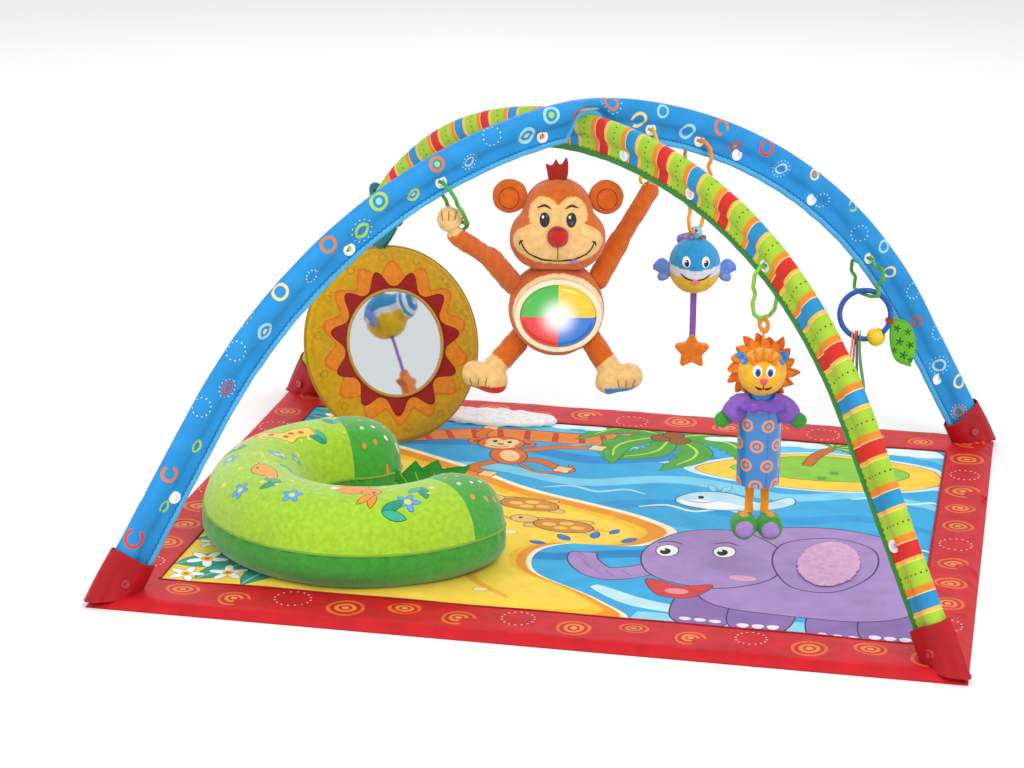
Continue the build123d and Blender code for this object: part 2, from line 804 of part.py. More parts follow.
def ring_spot(degrees):
    """Point on the rattle ring's wire, measured from its lowest point towards +x."""
    angle = math.radians(degrees - 90)
    return ring_plane.from_local_coords(
        Vector(ring_radius * math.cos(angle), ring_radius * math.sin(angle), 0)
    )


with BuildPart(ring_plane) as rattle_ring:
    Torus(ring_radius, ring_wire)
save(rattle_ring.part, "rattle_ring")

bead_angle = 28
bead_turn = math.radians(bead_angle)
bead_along = ring_side * math.cos(bead_turn) + Vector(0, 0, math.sin(bead_turn))
with BuildPart(Plane(origin=ring_spot(bead_angle), z_dir=bead_along)) as rattle_bead:
    Sphere(12.5)
    Cylinder(ring_wire + 2.8, 30, mode=Mode.SUBTRACT)
save(rattle_bead.part, "rattle_bead")
with BuildPart(ring_plane) as ring_clearance:
    Torus(ring_radius, ring_wire + 1.0)

page_colours = 4
page_thickness = 3.0
page_spot = ring_spot(-18)
with BuildPart() as rattle_pages:
    with BuildSketch(Plane(origin=page_spot, x_dir=ring_normal, z_dir=ring_side)):
        Circle(8)
    extrude(amount=page_colours * page_thickness / 2, both=True)
    for step in range(page_colours):
        side = (step - (page_colours - 1) / 2) * (page_thickness + 0.4)
        face_plane = Plane(origin=page_spot + ring_side * (side - page_thickness / 2),
                           x_dir=ring_normal, z_dir=ring_side)
        with BuildSketch(face_plane):
            with Locations((2, 36)):
                RectangleRounded(40, 64, 12)
        extrude(amount=page_thickness)
    add(ring_clearance.part, mode=Mode.SUBTRACT)
save(rattle_pages.part, "rattle_pages")

leaf_angle = 80
leaf_turn = math.radians(leaf_angle)
leaf_spot = ring_spot(leaf_angle)
leaf_along = ring_side * math.cos(leaf_turn) + Vector(0, 0, math.sin(leaf_turn))
leaf_plane = Plane(origin=leaf_spot, x_dir=ring_side, z_dir=ring_normal)
with BuildPart() as rattle_leaf:
    with BuildSketch(leaf_plane.offset(-2)):
        with BuildLine():
            Spline((0, 6), (26, -4), (36, -34), (30, -62))
            Spline((30, -62), (10, -54), (1, -30), (0, 6))
        make_face()
    extrude(amount=4)
    with BuildSketch(Plane(origin=leaf_spot, z_dir=leaf_along)):
        Circle(7)
    extrude(amount=4, both=True)
    add(ring_clearance.part, mode=Mode.SUBTRACT)
save(rattle_leaf.part - rattle_bead.part, "rattle_leaf")

# ======================= mirror =======================
mirror_turn = math.radians(-46.4)
mirror_lean = math.radians(18.3)
mirror_radius = 131.0
mirror_centre = Vector(-301, 237, 139.5)
mirror_normal = Vector(
    math.cos(mirror_lean) * math.cos(mirror_turn),
    math.cos(mirror_lean) * math.sin(mirror_turn),
    math.sin(mirror_lean),
)
mirror_across = Vector(0, 0, 1).cross(mirror_normal).normalized()
mirror = Plane(origin=mirror_centre, x_dir=mirror_across, z_dir=mirror_normal)
pad_half = 10.0
glass_radius = 70.0
with BuildPart() as mirror_pad:
    with BuildSketch(mirror.offset(-pad_half)):
        Circle(mirror_radius)
    extrude(amount=2 * pad_half)
    fillet(mirror_pad.edges(), 6)
    with BuildSketch(mirror.offset(pad_half - 5)):
        Circle(glass_radius)
    extrude(amount=6, mode=Mode.SUBTRACT)
save(mirror_pad.part, "mirror_pad")

with BuildPart() as mirror_disc:
    with BuildSketch(mirror.offset(pad_half - 5)):
        Circle(glass_radius)
    extrude(amount=3)
save(mirror_disc.part, "mirror_disc")

strap_station = -490.0
tie = green.station(strap_station, band_depth + 8)[0]
pad_top = mirror.from_local_coords(Vector(0, mirror_radius - 4, -pad_half - 1.2))
save(limb(tie, pad_top, 3) - mirror_pad.part, "mirror_strap")

# ======================= pillow =======================
pillow_centre = Vector(-239, -146, 0)
pillow_sweep = 135.0
pillow_half_width = 62.0
pillow_half_height = 54.0
pillow_first = 112.0
pillow_last = 334.0
pillow_floor = mat_height + gap
pillow_middle = pillow_floor + pillow_half_height - 4
start_turn = math.radians(pillow_first)
pillow_start = pillow_centre + Vector(math.cos(start_turn), math.sin(start_turn), 0) * pillow_sweep
pillow_section = Plane(
    origin=pillow_start + Vector(0, 0, pillow_middle),
    x_dir=(math.cos(start_turn), math.sin(start_turn), 0),
    z_dir=(math.sin(start_turn), -math.cos(start_turn), 0),
)
with BuildPart() as pillow:
    with BuildSketch(pillow_section):
        RectangleRounded(2 * pillow_half_width, 2 * pillow_half_height, 0.9 * pillow_half_height)
    revolve(
        axis=Axis(pillow_centre, (0, 0, 1)), revolution_arc=pillow_last - pillow_first
    )
pillow_form = pillow.part
for turn_at in (pillow_first, pillow_last):
    angle = math.radians(turn_at)
    outward = Vector(math.cos(angle), math.sin(angle), 0)
    tip = pillow_centre + outward * pillow_sweep + Vector(0, 0, pillow_middle)
    pillow_form = pillow_form + stuffed(tip, (0, 0, 1), pillow_half_width, pillow_half_height)
with BuildPart() as pillow_underside:
    with BuildSketch():
        Rectangle(1200, 1200)
    extrude(amount=pillow_floor)
pillow_form = pillow_form - pillow_underside.part
save(pillow_form, "pillow")

leaf_base = Vector(-262, -40, 0)
pillow_leaf_plane = Plane(origin=leaf_base + Vector(0, 0, pillow_floor), x_dir=(0.99, 0.12, 0),
                          z_dir=(0.12, -0.99, 0))
teeth = [(0, 8), (30, 50), (40, 42), (58, 60), (66, 50), (86, 62), (92, 50), (128, 56),
         (122, 30), (100, 8), (60, 2)]
with BuildPart() as pillow_leaf:
    with BuildSketch(pillow_leaf_plane.offset(-2.5)):
        with BuildLine():
            Polyline(*teeth, close=True)
        make_face()
    extrude(amount=5)
save(pillow_leaf.part - pillow_form, "pillow_leaf")
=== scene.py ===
"""Looks of an activity play gym: a printed mat, two cloth arches, hanging toys, a mirror and a pillow."""

import json
import math

import bpy
import numpy as np
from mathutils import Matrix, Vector
from mathutils.bvhtree import BVHTree
from mathutils.geometry import delaunay_2d_cdt


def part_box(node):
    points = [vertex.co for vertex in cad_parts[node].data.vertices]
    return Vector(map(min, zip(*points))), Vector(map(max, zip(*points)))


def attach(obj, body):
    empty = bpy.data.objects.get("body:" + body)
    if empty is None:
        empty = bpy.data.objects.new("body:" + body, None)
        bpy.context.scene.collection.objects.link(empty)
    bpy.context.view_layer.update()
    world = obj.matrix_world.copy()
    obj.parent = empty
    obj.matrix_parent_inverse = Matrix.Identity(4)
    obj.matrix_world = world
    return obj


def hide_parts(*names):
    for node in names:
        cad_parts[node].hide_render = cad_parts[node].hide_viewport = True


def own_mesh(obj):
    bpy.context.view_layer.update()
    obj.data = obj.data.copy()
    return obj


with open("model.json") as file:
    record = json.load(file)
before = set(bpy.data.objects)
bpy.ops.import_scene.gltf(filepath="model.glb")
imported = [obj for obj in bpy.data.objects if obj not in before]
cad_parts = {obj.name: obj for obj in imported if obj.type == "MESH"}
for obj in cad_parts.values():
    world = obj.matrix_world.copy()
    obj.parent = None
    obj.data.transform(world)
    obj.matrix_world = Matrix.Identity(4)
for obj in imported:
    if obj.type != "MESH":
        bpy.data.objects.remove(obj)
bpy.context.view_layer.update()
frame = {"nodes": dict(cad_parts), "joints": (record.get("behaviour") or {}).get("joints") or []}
joints = {joint["name"]: joint for joint in frame["joints"]}
mm = 0.001


# ------------------------------------------------------------------ colours and materials
def colour(code):
    """sRGB hex to linear red, green, blue and alpha."""
    srgb = np.array([int(code[i:i + 2], 16) for i in (1, 3, 5)]) / 255
    linear = np.where(srgb <= 0.04045, srgb / 12.92, ((srgb + 0.055) / 1.055) ** 2.4)
    return (*(float(part) for part in linear), 1.0)


def add(tree, kind, inputs, **settings):
    """Adds one shader node with its settings, and sets or links its inputs."""
    node = tree.nodes.new("ShaderNode" + kind)
    for name, value in settings.items():
        setattr(node, name, value)
    for name, value in inputs.items():
        if isinstance(value, bpy.types.NodeSocket):
            tree.links.new(value, node.inputs[name])
        else:
            node.inputs[name].default_value = value
    return node


def finish_of(name, **sockets):
    """A new material with its Principled shader set from the given sockets."""
    made = bpy.data.materials.new(name)
    made.use_nodes = True
    shader = made.node_tree.nodes["Principled BSDF"]
    for socket, value in sockets.items():
        shader.inputs[socket.replace("_", " ")].default_value = value
    return made, made.node_tree, shader


def mottled(tree, shader, base, where, size, depth):
    """Base colour varied lighter and darker by up to `depth`, in patches of `size` metres."""
    cloud = add(tree, "TexNoise", {"Vector": where, "Scale": 1 / size, "Detail": 3.0})
    level = add(tree, "MapRange", {"Value": cloud.outputs["Fac"], "From Min": 0.3, "From Max": 0.7,
                                   "To Min": 1 - depth, "To Max": 1 + depth * 0.4})
    mixed = add(tree, "VectorMath", {0: base, "Scale": level.outputs["Result"]}, operation="SCALE")
    tree.links.new(mixed.outputs["Vector"], shader.inputs["Base Color"])


def ground_of(tree, base):
    """The print painted on the mesh, or one base colour."""
    if base is None:
        return add(tree, "VertexColor", {}, layer_name="print").outputs["Color"]
    ground = add(tree, "RGB", {}).outputs["Color"]
    ground.default_value = colour(base)
    return ground


def raise_relief(tree, shader, height, strength, distance):
    """Bumps the surface by a height socket."""
    bump = add(tree, "Bump", {"Height": height, "Strength": strength, "Distance": distance})
    tree.links.new(bump.outputs["Normal"], shader.inputs["Normal"])


def woven(name, thread, relief, roughness, sheen, shade=0.12, base=None):
    """Woven cloth: two crossed rows of threads `thread` metres apart, on the piece's own UV in metres.

    The print comes from the "print" colour of the mesh, unless one base colour is given.
    """
    made, tree, shader = finish_of(name, Roughness=roughness, Sheen_Weight=sheen, Sheen_Roughness=0.4,
                                   Specular_IOR_Level=0.3)
    where = add(tree, "UVMap", {}).outputs["UV"]
    mottled(tree, shader, ground_of(tree, base), where, 0.03, shade)
    rows = [
        add(tree, "TexWave", {"Vector": where, "Scale": 0.314 / thread, "Distortion": 0.6,
                              "Detail Scale": 2.0}, bands_direction=way).outputs["Fac"]
        for way in ("X", "Y")
    ]
    cross = add(tree, "Math", {0: rows[0], 1: rows[1]}, operation="ADD").outputs["Value"]
    raise_relief(tree, shader, cross, 0.5, relief)
    return made


def piled(name, pile, relief, sheen, base=None, roughness=0.95):
    """Short-pile plush or felt: fine tufts `pile` metres across and slow brush marks, in object space."""
    made, tree, shader = finish_of(name, Roughness=roughness, Sheen_Weight=sheen, Sheen_Roughness=0.5,
                                   Specular_IOR_Level=0.15)
    where = add(tree, "TexCoord", {}).outputs["Object"]
    mottled(tree, shader, ground_of(tree, base), where, 7 * pile, 0.16)
    tufts = add(tree, "TexNoise", {"Vector": where, "Scale": 1 / pile, "Detail": 2.0,
                                   "Roughness": 0.7}).outputs["Fac"]
    brush = add(tree, "TexNoise", {"Vector": where, "Scale": 1 / (9 * pile)}).outputs["Fac"]
    both = add(tree, "Math", {0: brush, 1: 1.5, 2: tufts}, operation="MULTIPLY_ADD").outputs["Value"]
    raise_relief(tree, shader, both, 0.9, relief)
    return made


def moulded(name, base, roughness=0.25, grain=4 * mm, coat=0.3):
    """Injection-moulded plastic: slight flow marks in its gloss, under a thin polished skin."""
    made, tree, shader = finish_of(name, Coat_Weight=coat, Coat_Roughness=0.1, IOR=1.5,
                                   Subsurface_Weight=0.05, Subsurface_Scale=0.002)
    where = add(tree, "TexCoord", {}).outputs["Object"]
    mottled(tree, shader, ground_of(tree, base), where, 0.02, 0.06)
    flow = add(tree, "TexNoise", {"Vector": where, "Scale": 1 / grain, "Detail": 2.0}).outputs["Fac"]
    gloss = add(tree, "MapRange", {"Value": flow, "To Min": roughness - 0.06, "To Max": roughness + 0.1})
    tree.links.new(gloss.outputs["Result"], shader.inputs["Roughness"])
    raise_relief(tree, shader, flow, 0.12, 0.0003)
    return made


def drawn_metal(name, base, roughness):
    """Drawn metal: fine lengthwise scratches."""
    made, tree, shader = finish_of(name, Metallic=1.0)
    shader.inputs["Base Color"].default_value = colour(base)
    where = add(tree, "TexCoord", {}).outputs["Object"]
    stretched = add(tree, "Mapping", {"Vector": where, "Scale": (900, 900, 60)}).outputs["Vector"]
    scratch = add(tree, "TexNoise", {"Vector": stretched, "Scale": 1.0}).outputs["Fac"]
    gloss = add(tree, "MapRange", {"Value": scratch, "To Min": roughness - 0.1, "To Max": roughness + 0.15})
    tree.links.new(gloss.outputs["Result"], shader.inputs["Roughness"])
    return made


printed_cotton = woven("printed_cotton", 1.4 * mm, 0.25 * mm, 0.75, 0.06)
red_satin = woven("red_polyester_satin", 1.2 * mm, 0.12 * mm, 0.55, 0.02, shade=0.2)
sleeve_cotton = woven("sleeve_cotton", 1.3 * mm, 0.2 * mm, 0.55, 0.1, shade=0.14)
bias_tape = woven("folded_bias_tape", 1.0 * mm, 0.3 * mm, 0.7, 0.3)
ribbon_weave = woven("woven_ribbon", 0.9 * mm, 0.25 * mm, 0.5, 0.4)
plush = piled("short_pile_plush", 1.1 * mm, 0.9 * mm, 0.3)
velour = piled("printed_velour", 0.9 * mm, 0.4 * mm, 0.45)
felt = piled("wool_felt", 0.8 * mm, 0.5 * mm, 0.2)
embroidery = piled("embroidery_thread", 0.5 * mm, 0.3 * mm, 0.2, roughness=0.5)


# ------------------------------------------------------------------ meshes
def make_piece(name, points, faces, finishes, tints=None, flat=None):
    """A mesh object from points in millimetres. tints colour its faces; flat gives its UV in millimetres."""
    counts = np.array([len(face) for face in faces])
    used, renumbered = np.unique(np.concatenate(faces), return_inverse=True)
    faces = [part.tolist() for part in np.split(renumbered.ravel(), np.cumsum(counts)[:-1])]
    points = np.asarray(points)[used]
    flat = None if flat is None else np.asarray(flat)[used]
    mesh = bpy.data.meshes.new(name)
    mesh.from_pydata((points * mm).tolist(), [], faces)
    corners = np.zeros(len(mesh.loops), dtype=np.int32)
    mesh.loops.foreach_get("vertex_index", corners)
    if tints is not None:
        shades = np.repeat(np.asarray(tints, dtype=np.float32), counts, axis=0)
        layer = mesh.color_attributes.new("print", "FLOAT_COLOR", "CORNER")
        layer.data.foreach_set("color", shades.ravel())
    if flat is not None:
        layer = mesh.uv_layers.new(name="UVMap")
        layer.data.foreach_set("uv", (flat[corners] * mm).astype(np.float32).ravel())
    for finish in finishes:
        mesh.materials.append(finish)
    mesh.polygons.foreach_set("use_smooth", np.ones(len(mesh.polygons), dtype=bool))
    mesh.update()
    piece = bpy.data.objects.new(name, mesh)
    bpy.context.scene.collection.objects.link(piece)
    return piece


def carried(body, slot, *pieces):
    """Each piece moves with the body. The slot is not used."""
    for piece in pieces:
        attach(piece, body)


def loft(name, rows, finish, tint, closed=False, cap=False):
    """A surface through rows of points, shape (rows, columns, 3); columns may close on themselves."""
    rows = np.asarray(rows, dtype=float)
    count, wide = rows.shape[:2]
    row, column = np.meshgrid(np.arange(count - 1), np.arange(wide if closed else wide - 1), indexing="ij")
    after = (column + 1) % wide
    quads = np.stack([row * wide + column, row * wide + after, (row + 1) * wide + after,
                      (row + 1) * wide + column], axis=-1).reshape(-1, 4)
    faces = quads.tolist()
    if cap:
        faces += [list(range(wide))[::-1], [(count - 1) * wide + i for i in range(wide)]]
    steps = np.linalg.norm(np.diff(rows[:, 0], axis=0), axis=-1)
    along = np.concatenate([[0], np.cumsum(steps)])
    gaps = np.linalg.norm(np.diff(rows[0], axis=0), axis=-1)
    across = np.concatenate([[0], np.cumsum(gaps)])
    flat = np.stack(np.broadcast_arrays(along[:, None], across[None, :]), axis=-1).reshape(-1, 2)
    tints = np.tile(colour(tint), (len(faces), 1))
    return make_piece(name, rows.reshape(-1, 3), faces, [finish], tints, flat)


def tube(name, path, radius, finish, tint, sides=8, squash=1.0):
    """A round or flattened tube round a path, carried on frames turned as little as possible."""
    path = np.asarray(path, dtype=float)
    ahead = np.gradient(path, axis=0)
    ahead /= np.linalg.norm(ahead, axis=1, keepdims=True)
    start = np.cross(ahead[0], (0, 0, 1) if abs(ahead[0][2]) < 0.9 else (0, 1, 0))
    normals = [start / np.linalg.norm(start)]
    for direction in ahead[1:]:
        turned = normals[-1] - direction * np.dot(normals[-1], direction)
        normals.append(turned / np.linalg.norm(turned))
    normals = np.array(normals)
    binormals = np.cross(ahead, normals)
    angle = np.linspace(0, 2 * np.pi, sides, endpoint=False)
    radii = np.broadcast_to(radius, len(path))[:, None, None]
    ring = (np.cos(angle)[None, :, None] * normals[:, None] * squash
            + np.sin(angle)[None, :, None] * binormals[:, None])
    return loft(name, path[:, None] + ring * radii, finish, tint, closed=True, cap=True)


def spans(corners, per_span):
    """Catmull-Rom points between the two middle rows of four rows of corners."""
    t = np.linspace(0, 1, per_span, endpoint=False)[None, :, None]
    p0, p1, p2, p3 = (row[:, None] for row in corners)
    curve = 0.5 * (2 * p1 + (p2 - p0) * t + (2 * p0 - 5 * p1 + 4 * p2 - p3) * t ** 2
                   + (3 * p1 - p0 - 3 * p2 + p3) * t ** 3)
    return curve.reshape(-1, curve.shape[-1])


def smooth_loop(points, per_span=6):
    """Closed curve through a few points."""
    points = np.asarray(points, dtype=float)
    return spans([np.roll(points, shift, axis=0) for shift in (1, 0, -1, -2)], per_span)


def smooth_line(points, per_span=8):
    """Open curve through a few points, with its ends kept."""
    points = np.asarray(points, dtype=float)
    padded = np.vstack([2 * points[0] - points[1], points, 2 * points[-1] - points[-2]])
    curve = spans([padded[i:len(padded) - 3 + i] for i in range(4)], per_span)
    return np.vstack([curve, points[-1:]])


def set_down(x, y, a, b, degrees=0.0):
    """Outline of coordinates a and b, turned and then moved to x, y."""
    turn = math.radians(degrees)
    return np.stack([x + a * math.cos(turn) - b * math.sin(turn),
                     y + a * math.sin(turn) + b * math.cos(turn)], axis=1)


def oval(x, y, wide, high=None, turn=0.0, count=20):
    """Ellipse of half-widths wide and high, turned by degrees."""
    angle = np.linspace(0, 2 * np.pi, count, endpoint=False)
    return set_down(x, y, wide * np.cos(angle), (wide if high is None else high) * np.sin(angle), turn)


def petals(x, y, count, reach, waist, turn=0.0):
    """Flower or star: radius swings between waist and reach, count times round."""
    angle = np.linspace(0, 2 * np.pi, 10 * count, endpoint=False)
    radius = waist + (reach - waist) * (0.5 + 0.5 * np.cos(count * angle))
    angle = angle + math.radians(turn)
    return np.stack([x + radius * np.cos(angle), y + radius * np.sin(angle)], axis=1)


def leaf(x, y, length, wide, turn):
    """Pointed leaf from its stalk at x, y."""
    t = np.linspace(0, 1, 12)
    half = wide * np.sin(np.pi * t) ** 0.8 * (1 - 0.3 * t)
    return set_down(x, y, np.concatenate([t, t[-2:0:-1]]) * length, np.concatenate([half, -half[-2:0:-1]]),
                    turn)


def sideways(line):
    """Unit normals of a flat line, to its left."""
    ahead = np.gradient(line, axis=0)
    side = np.stack([-ahead[:, 1], ahead[:, 0]], axis=1)
    return side / np.linalg.norm(side, axis=1, keepdims=True)


def stroke(points, wide, tip=0.4):
    """Brush line through a few points, `wide` across and thinner at its ends."""
    line = smooth_line(points, 6)
    along = np.linspace(0, 1, len(line))[:, None]
    half = wide / 2 * (tip + (1 - tip) * np.sin(np.pi * along) ** 0.6)
    side = sideways(line) * half
    return np.vstack([line + side, (line - side)[::-1]])


def anticlockwise(outline):
    """Whether a closed outline runs anticlockwise."""
    after = np.roll(outline, -1, axis=0)
    return np.sum(outline[:, 0] * after[:, 1] - outline[:, 1] * after[:, 0]) > 0


def dotted(x, y, radius, dot, count):
    """Ring of round dots."""
    angle = np.linspace(0, 2 * np.pi, count, endpoint=False)
    return [oval(x + radius * math.cos(a), y + radius * math.sin(a), dot, count=6) for a in angle]


def edged(outline, fill, line="#3A2A20", wide=1.2):
    """A filled outline with a thin drawn line round it."""
    outline = np.asarray(outline)
    ahead = np.roll(outline, -1, axis=0) - np.roll(outline, 1, axis=0)
    out = np.stack([ahead[:, 1], -ahead[:, 0]], axis=1)
    out /= np.maximum(np.linalg.norm(out, axis=1, keepdims=True), 1e-6)
    return [(outline + out * (wide if anticlockwise(outline) else -wide), line), (outline, fill)]


def dense(outline, step):
    """The outline turned anticlockwise, with its long edges divided to about one step."""
    outline = np.asarray(outline, dtype=float)
    if not anticlockwise(outline):
        outline = outline[::-1]
    after = np.roll(outline, -1, axis=0)
    parts = np.maximum(np.ceil(np.linalg.norm(after - outline, axis=1) / step).astype(int), 1)
    if parts.max() == 1:
        return outline
    runs = [start + (end - start) * np.linspace(0, 1, count, endpoint=False)[:, None]
            for start, end, count in zip(outline, after, parts)]
    return np.vstack(runs)


def printed(name, rim, inner, step, ground, prints, place, finish, holes=(), back=False):
    """Printed cloth inside a flat rim, in millimetres, with a grid of inner points.

    Every printed outline is an edge of the mesh, so the print is sharp: the points and all outlines are
    triangulated together, and a triangle takes the last outline that holds it. place(flat) gives the
    points in space. Holes are outlines left out; back turns the faces over.
    """
    outlines = [rim] + [dense(outline, step) for outline, _ in prints] + [dense(hole, step) for hole in holes]
    starts = np.cumsum([0] + [len(outline) for outline in outlines])
    rings = [list(range(low, high)) for low, high in zip(starts, starts[1:])]
    flat, _, faces, _, _, holders = delaunay_2d_cdt(
        [Vector(point) for point in np.vstack(outlines + [inner]).tolist()], [], rings, 0, 1e-4)
    palette = np.array([colour(ground)] + [colour(code) for _, code in prints])
    kept = [(list(face)[::-1] if back else list(face), max(held)) for face, held in zip(faces, holders)
            if 0 in held and max(held) <= len(prints)]
    flat = np.array([tuple(point) for point in flat])
    return make_piece(name, place(flat), [face for face, _ in kept], [finish],
                      palette[[index for _, index in kept]], flat)


def grid(u, v):
    """Every pair of the two rows of coordinates."""
    return np.stack(np.meshgrid(u, v, indexing="ij"), axis=-1).reshape(-1, 2)


def cut_cloth(name, reach, step, ground, prints, place, finish, holes=()):
    """Printed cloth cut to a rectangle of half-sizes `reach` about the origin, on an even grid."""
    reach = np.asarray(reach, dtype=float)
    counts = np.maximum(np.round(2 * reach / step).astype(int), 2)
    u, v = (np.linspace(-reach[i], reach[i], counts[i] + 1) for i in (0, 1))
    rim = np.vstack([grid(u[:-1], v[:1]), grid(u[-1:], v[:-1]), grid(u[:0:-1], v[-1:]),
                     grid(u[:1], v[:0:-1])])
    return printed(name, rim, grid(u[1:-1], v[1:-1]), step, ground, prints, place, finish, holes)


def cut_to_outline(name, outline, step, ground, prints, place, finish, back=False):
    """Printed cloth cut to any outline, on a grid that fills it."""
    outline = dense(outline, step)
    low, high = outline.min(axis=0), outline.max(axis=0)
    u, v = (np.arange(low[i] + step / 2, high[i], step) for i in (0, 1))
    return printed(name, outline, grid(u, v), step, ground, prints, place, finish, back=back)


def ripples(x, y, wave, height, seed):
    """Soft uneven relief: eight sine waves about `wave` long, in random directions, adding to `height`."""
    rng = np.random.default_rng(seed)
    total = np.zeros_like(x, dtype=float)
    for angle, stretch, phase in rng.uniform((0, 0.6, 0), (np.pi, 1.8, 2 * np.pi), (8, 3)):
        total += np.sin((x * math.cos(angle) + y * math.sin(angle)) * 2 * np.pi / (wave * stretch) + phase)
    return total * height / 4


def soft_copy(name, node, voxel, rounds, tint, finish, body, slot, relief=0.0, swell=0.0):
    """Stuffed piece in the room its solid holds: a copy remeshed at `voxel` mm, relaxed and coloured.

    tint(points) gives each point's colour from its place in millimetres.
    """
    source = frame["nodes"][node].data
    points = [tuple(vertex.co) for vertex in source.vertices]
    faces = [list(polygon.vertices) for polygon in source.polygons]
    rough = make_piece(name + "_rough", np.array(points) / mm, faces, [])
    weld = rough.modifiers.new("weld", "WELD")
    weld.merge_threshold = 0.02 * mm
    remesh = rough.modifiers.new("remesh", "REMESH")
    remesh.mode = "VOXEL"
    remesh.voxel_size = voxel * mm
    relax = rough.modifiers.new("relax", "SMOOTH")
    relax.iterations = rounds
    relax.factor = 0.6
    held = rough.evaluated_get(bpy.context.evaluated_depsgraph_get())
    mesh = bpy.data.meshes.new_from_object(held)
    mesh.name = name
    bpy.data.objects.remove(rough)
    count = len(mesh.vertices)
    place = np.zeros(count * 3)
    mesh.vertices.foreach_get("co", place)
    normal = np.zeros(count * 3)
    mesh.vertices.foreach_get("normal", normal)
    place, normal = place.reshape(-1, 3) / mm, normal.reshape(-1, 3)
    if relief or swell:
        rough_skin = ripples(place[:, 0] + place[:, 2], place[:, 1] - place[:, 2], 22, relief, 5)
        place = place + normal * (rough_skin + swell)[:, None]
    mesh.vertices.foreach_set("co", (place * mm).ravel())
    layer = mesh.color_attributes.new("print", "FLOAT_COLOR", "POINT")
    layer.data.foreach_set("color", np.asarray(tint(place), dtype=np.float32).ravel())
    mesh.materials.clear()
    mesh.materials.append(finish)
    mesh.polygons.foreach_set("use_smooth", np.ones(len(mesh.polygons), dtype=bool))
    mesh.update()
    piece = bpy.data.objects.new(name, mesh)
    bpy.context.scene.collection.objects.link(piece)
    carried(body, slot, piece)
    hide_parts(node)
    return piece


def dress(node, finish):
    """Gives a CAD node its material."""
    materials = frame["nodes"][node].data.materials
    materials.clear()
    materials.append(finish)


class Facing:
    """A toy's own frame: across to the right, up, and out towards its face, in millimetres."""

    def __init__(self, origin, across, out):
        self.origin = np.array(origin, dtype=float)
        self.across = np.array(across, dtype=float)
        self.out = np.array(out, dtype=float)
        self.up = np.cross(self.out, self.across)

    def local(self, points):
        """Points in this frame."""
        offset = np.asarray(points) - self.origin
        return offset @ self.across, offset @ self.up, offset @ self.out

    def point(self, x, y, z=0.0):
        """Points in space from this frame's coordinates."""
        x, y, z = (np.asarray(value, dtype=float)[..., None] for value in (x, y, z))
        return self.origin + x * self.across + y * self.up + z * self.out


def sewn_on(name, outline, facing, under, code, finish, body, lift=0.6, dome=0.0, reach=200.0):
    """A small cloth shape laid on a stuffed piece: its outline is dropped along the face onto the piece.

    dome raises its middle; the rim turns into the pile.
    """
    trees = [BVHTree.FromObject(piece, bpy.context.evaluated_depsgraph_get()) for piece in under]
    outline = np.asarray(outline, dtype=float)
    middle = outline.mean(axis=0)
    shells = [1.0, 0.97, 0.85, 0.65, 0.4, 0.15]
    lifts = [-0.8, 0.0, 0.35, 0.7, 0.92, 1.0]
    rows = []
    back = Vector(-facing.out)
    for shell, rise in zip(shells, lifts):
        flat = middle + (outline - middle) * shell
        starts = facing.point(flat[:, 0], flat[:, 1], reach)
        row = []
        for start in starts:
            hits = [tree.ray_cast(Vector(start * mm), back) for tree in trees]
            hits = [hit for hit in hits if hit[0] is not None]
            if hits:
                where = np.array(min(hits, key=lambda hit: hit[3])[0]) / mm
            else:
                where = start - facing.out * reach
            row.append(where + facing.out * (lift + dome * max(rise, 0) if rise > -0.5 else -0.6))
        rows.append(row)
    rows = np.array(rows)
    wide = len(outline)
    made = loft(name, rows, finish, code, closed=True)
    mesh = made.data
    centre = rows[-1].mean(axis=0)
    points = np.vstack([rows.reshape(-1, 3), centre])
    faces = [list(polygon.vertices) for polygon in mesh.polygons]
    base = (len(shells) - 1) * wide
    faces += [[base + i, base + (i + 1) % wide, len(points) - 1] for i in range(wide)]
    flat = np.stack([(points - facing.origin) @ facing.across, (points - facing.origin) @ facing.up], axis=1)
    bpy.data.objects.remove(made)
    if not anticlockwise(outline):
        faces = [face[::-1] for face in faces]
    made = make_piece(name, points, faces, [finish], np.tile(colour(code), (len(faces), 1)), flat)
    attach(made, body)
    return made


# ------------------------------------------------------------------ camera, floor and light
def look_from():
    """Long-lens camera in front of the gym, a little to the right and above."""
    data = bpy.data.cameras.new("camera")
    data.lens = 94.84
    data.sensor_width = 36
    camera = bpy.data.objects.new("camera", data)
    yaw, pitch, roll = math.radians(11.32), math.radians(17.27), math.radians(0.62)
    ahead = Vector((-math.sin(yaw) * math.cos(pitch), math.cos(yaw) * math.cos(pitch), -math.sin(pitch)))
    level = Vector((math.cos(yaw), math.sin(yaw), 0))
    up = level.cross(ahead)
    right = level * math.cos(roll) + up * math.sin(roll)
    top = up * math.cos(roll) - level * math.sin(roll)
    turned = camera.matrix_world
    for row in range(3):
        turned[row] = (right[row], top[row], -ahead[row], (0.5409, -3.1472, 1.1671)[row])
    camera.matrix_world = turned
    bpy.context.scene.collection.objects.link(camera)
    bpy.context.scene.camera = camera


def light(name, place, size, power, aim=(0, 0, 0.2)):
    """Square soft box aimed at the toys."""
    data = bpy.data.lights.new(name, "AREA")
    data.size = size
    data.energy = power
    lamp = bpy.data.objects.new(name, data)
    lamp.location = place
    lamp.rotation_euler = (Vector(aim) - Vector(place)).to_track_quat("-Z", "Y").to_euler()
    bpy.context.scene.collection.objects.link(lamp)


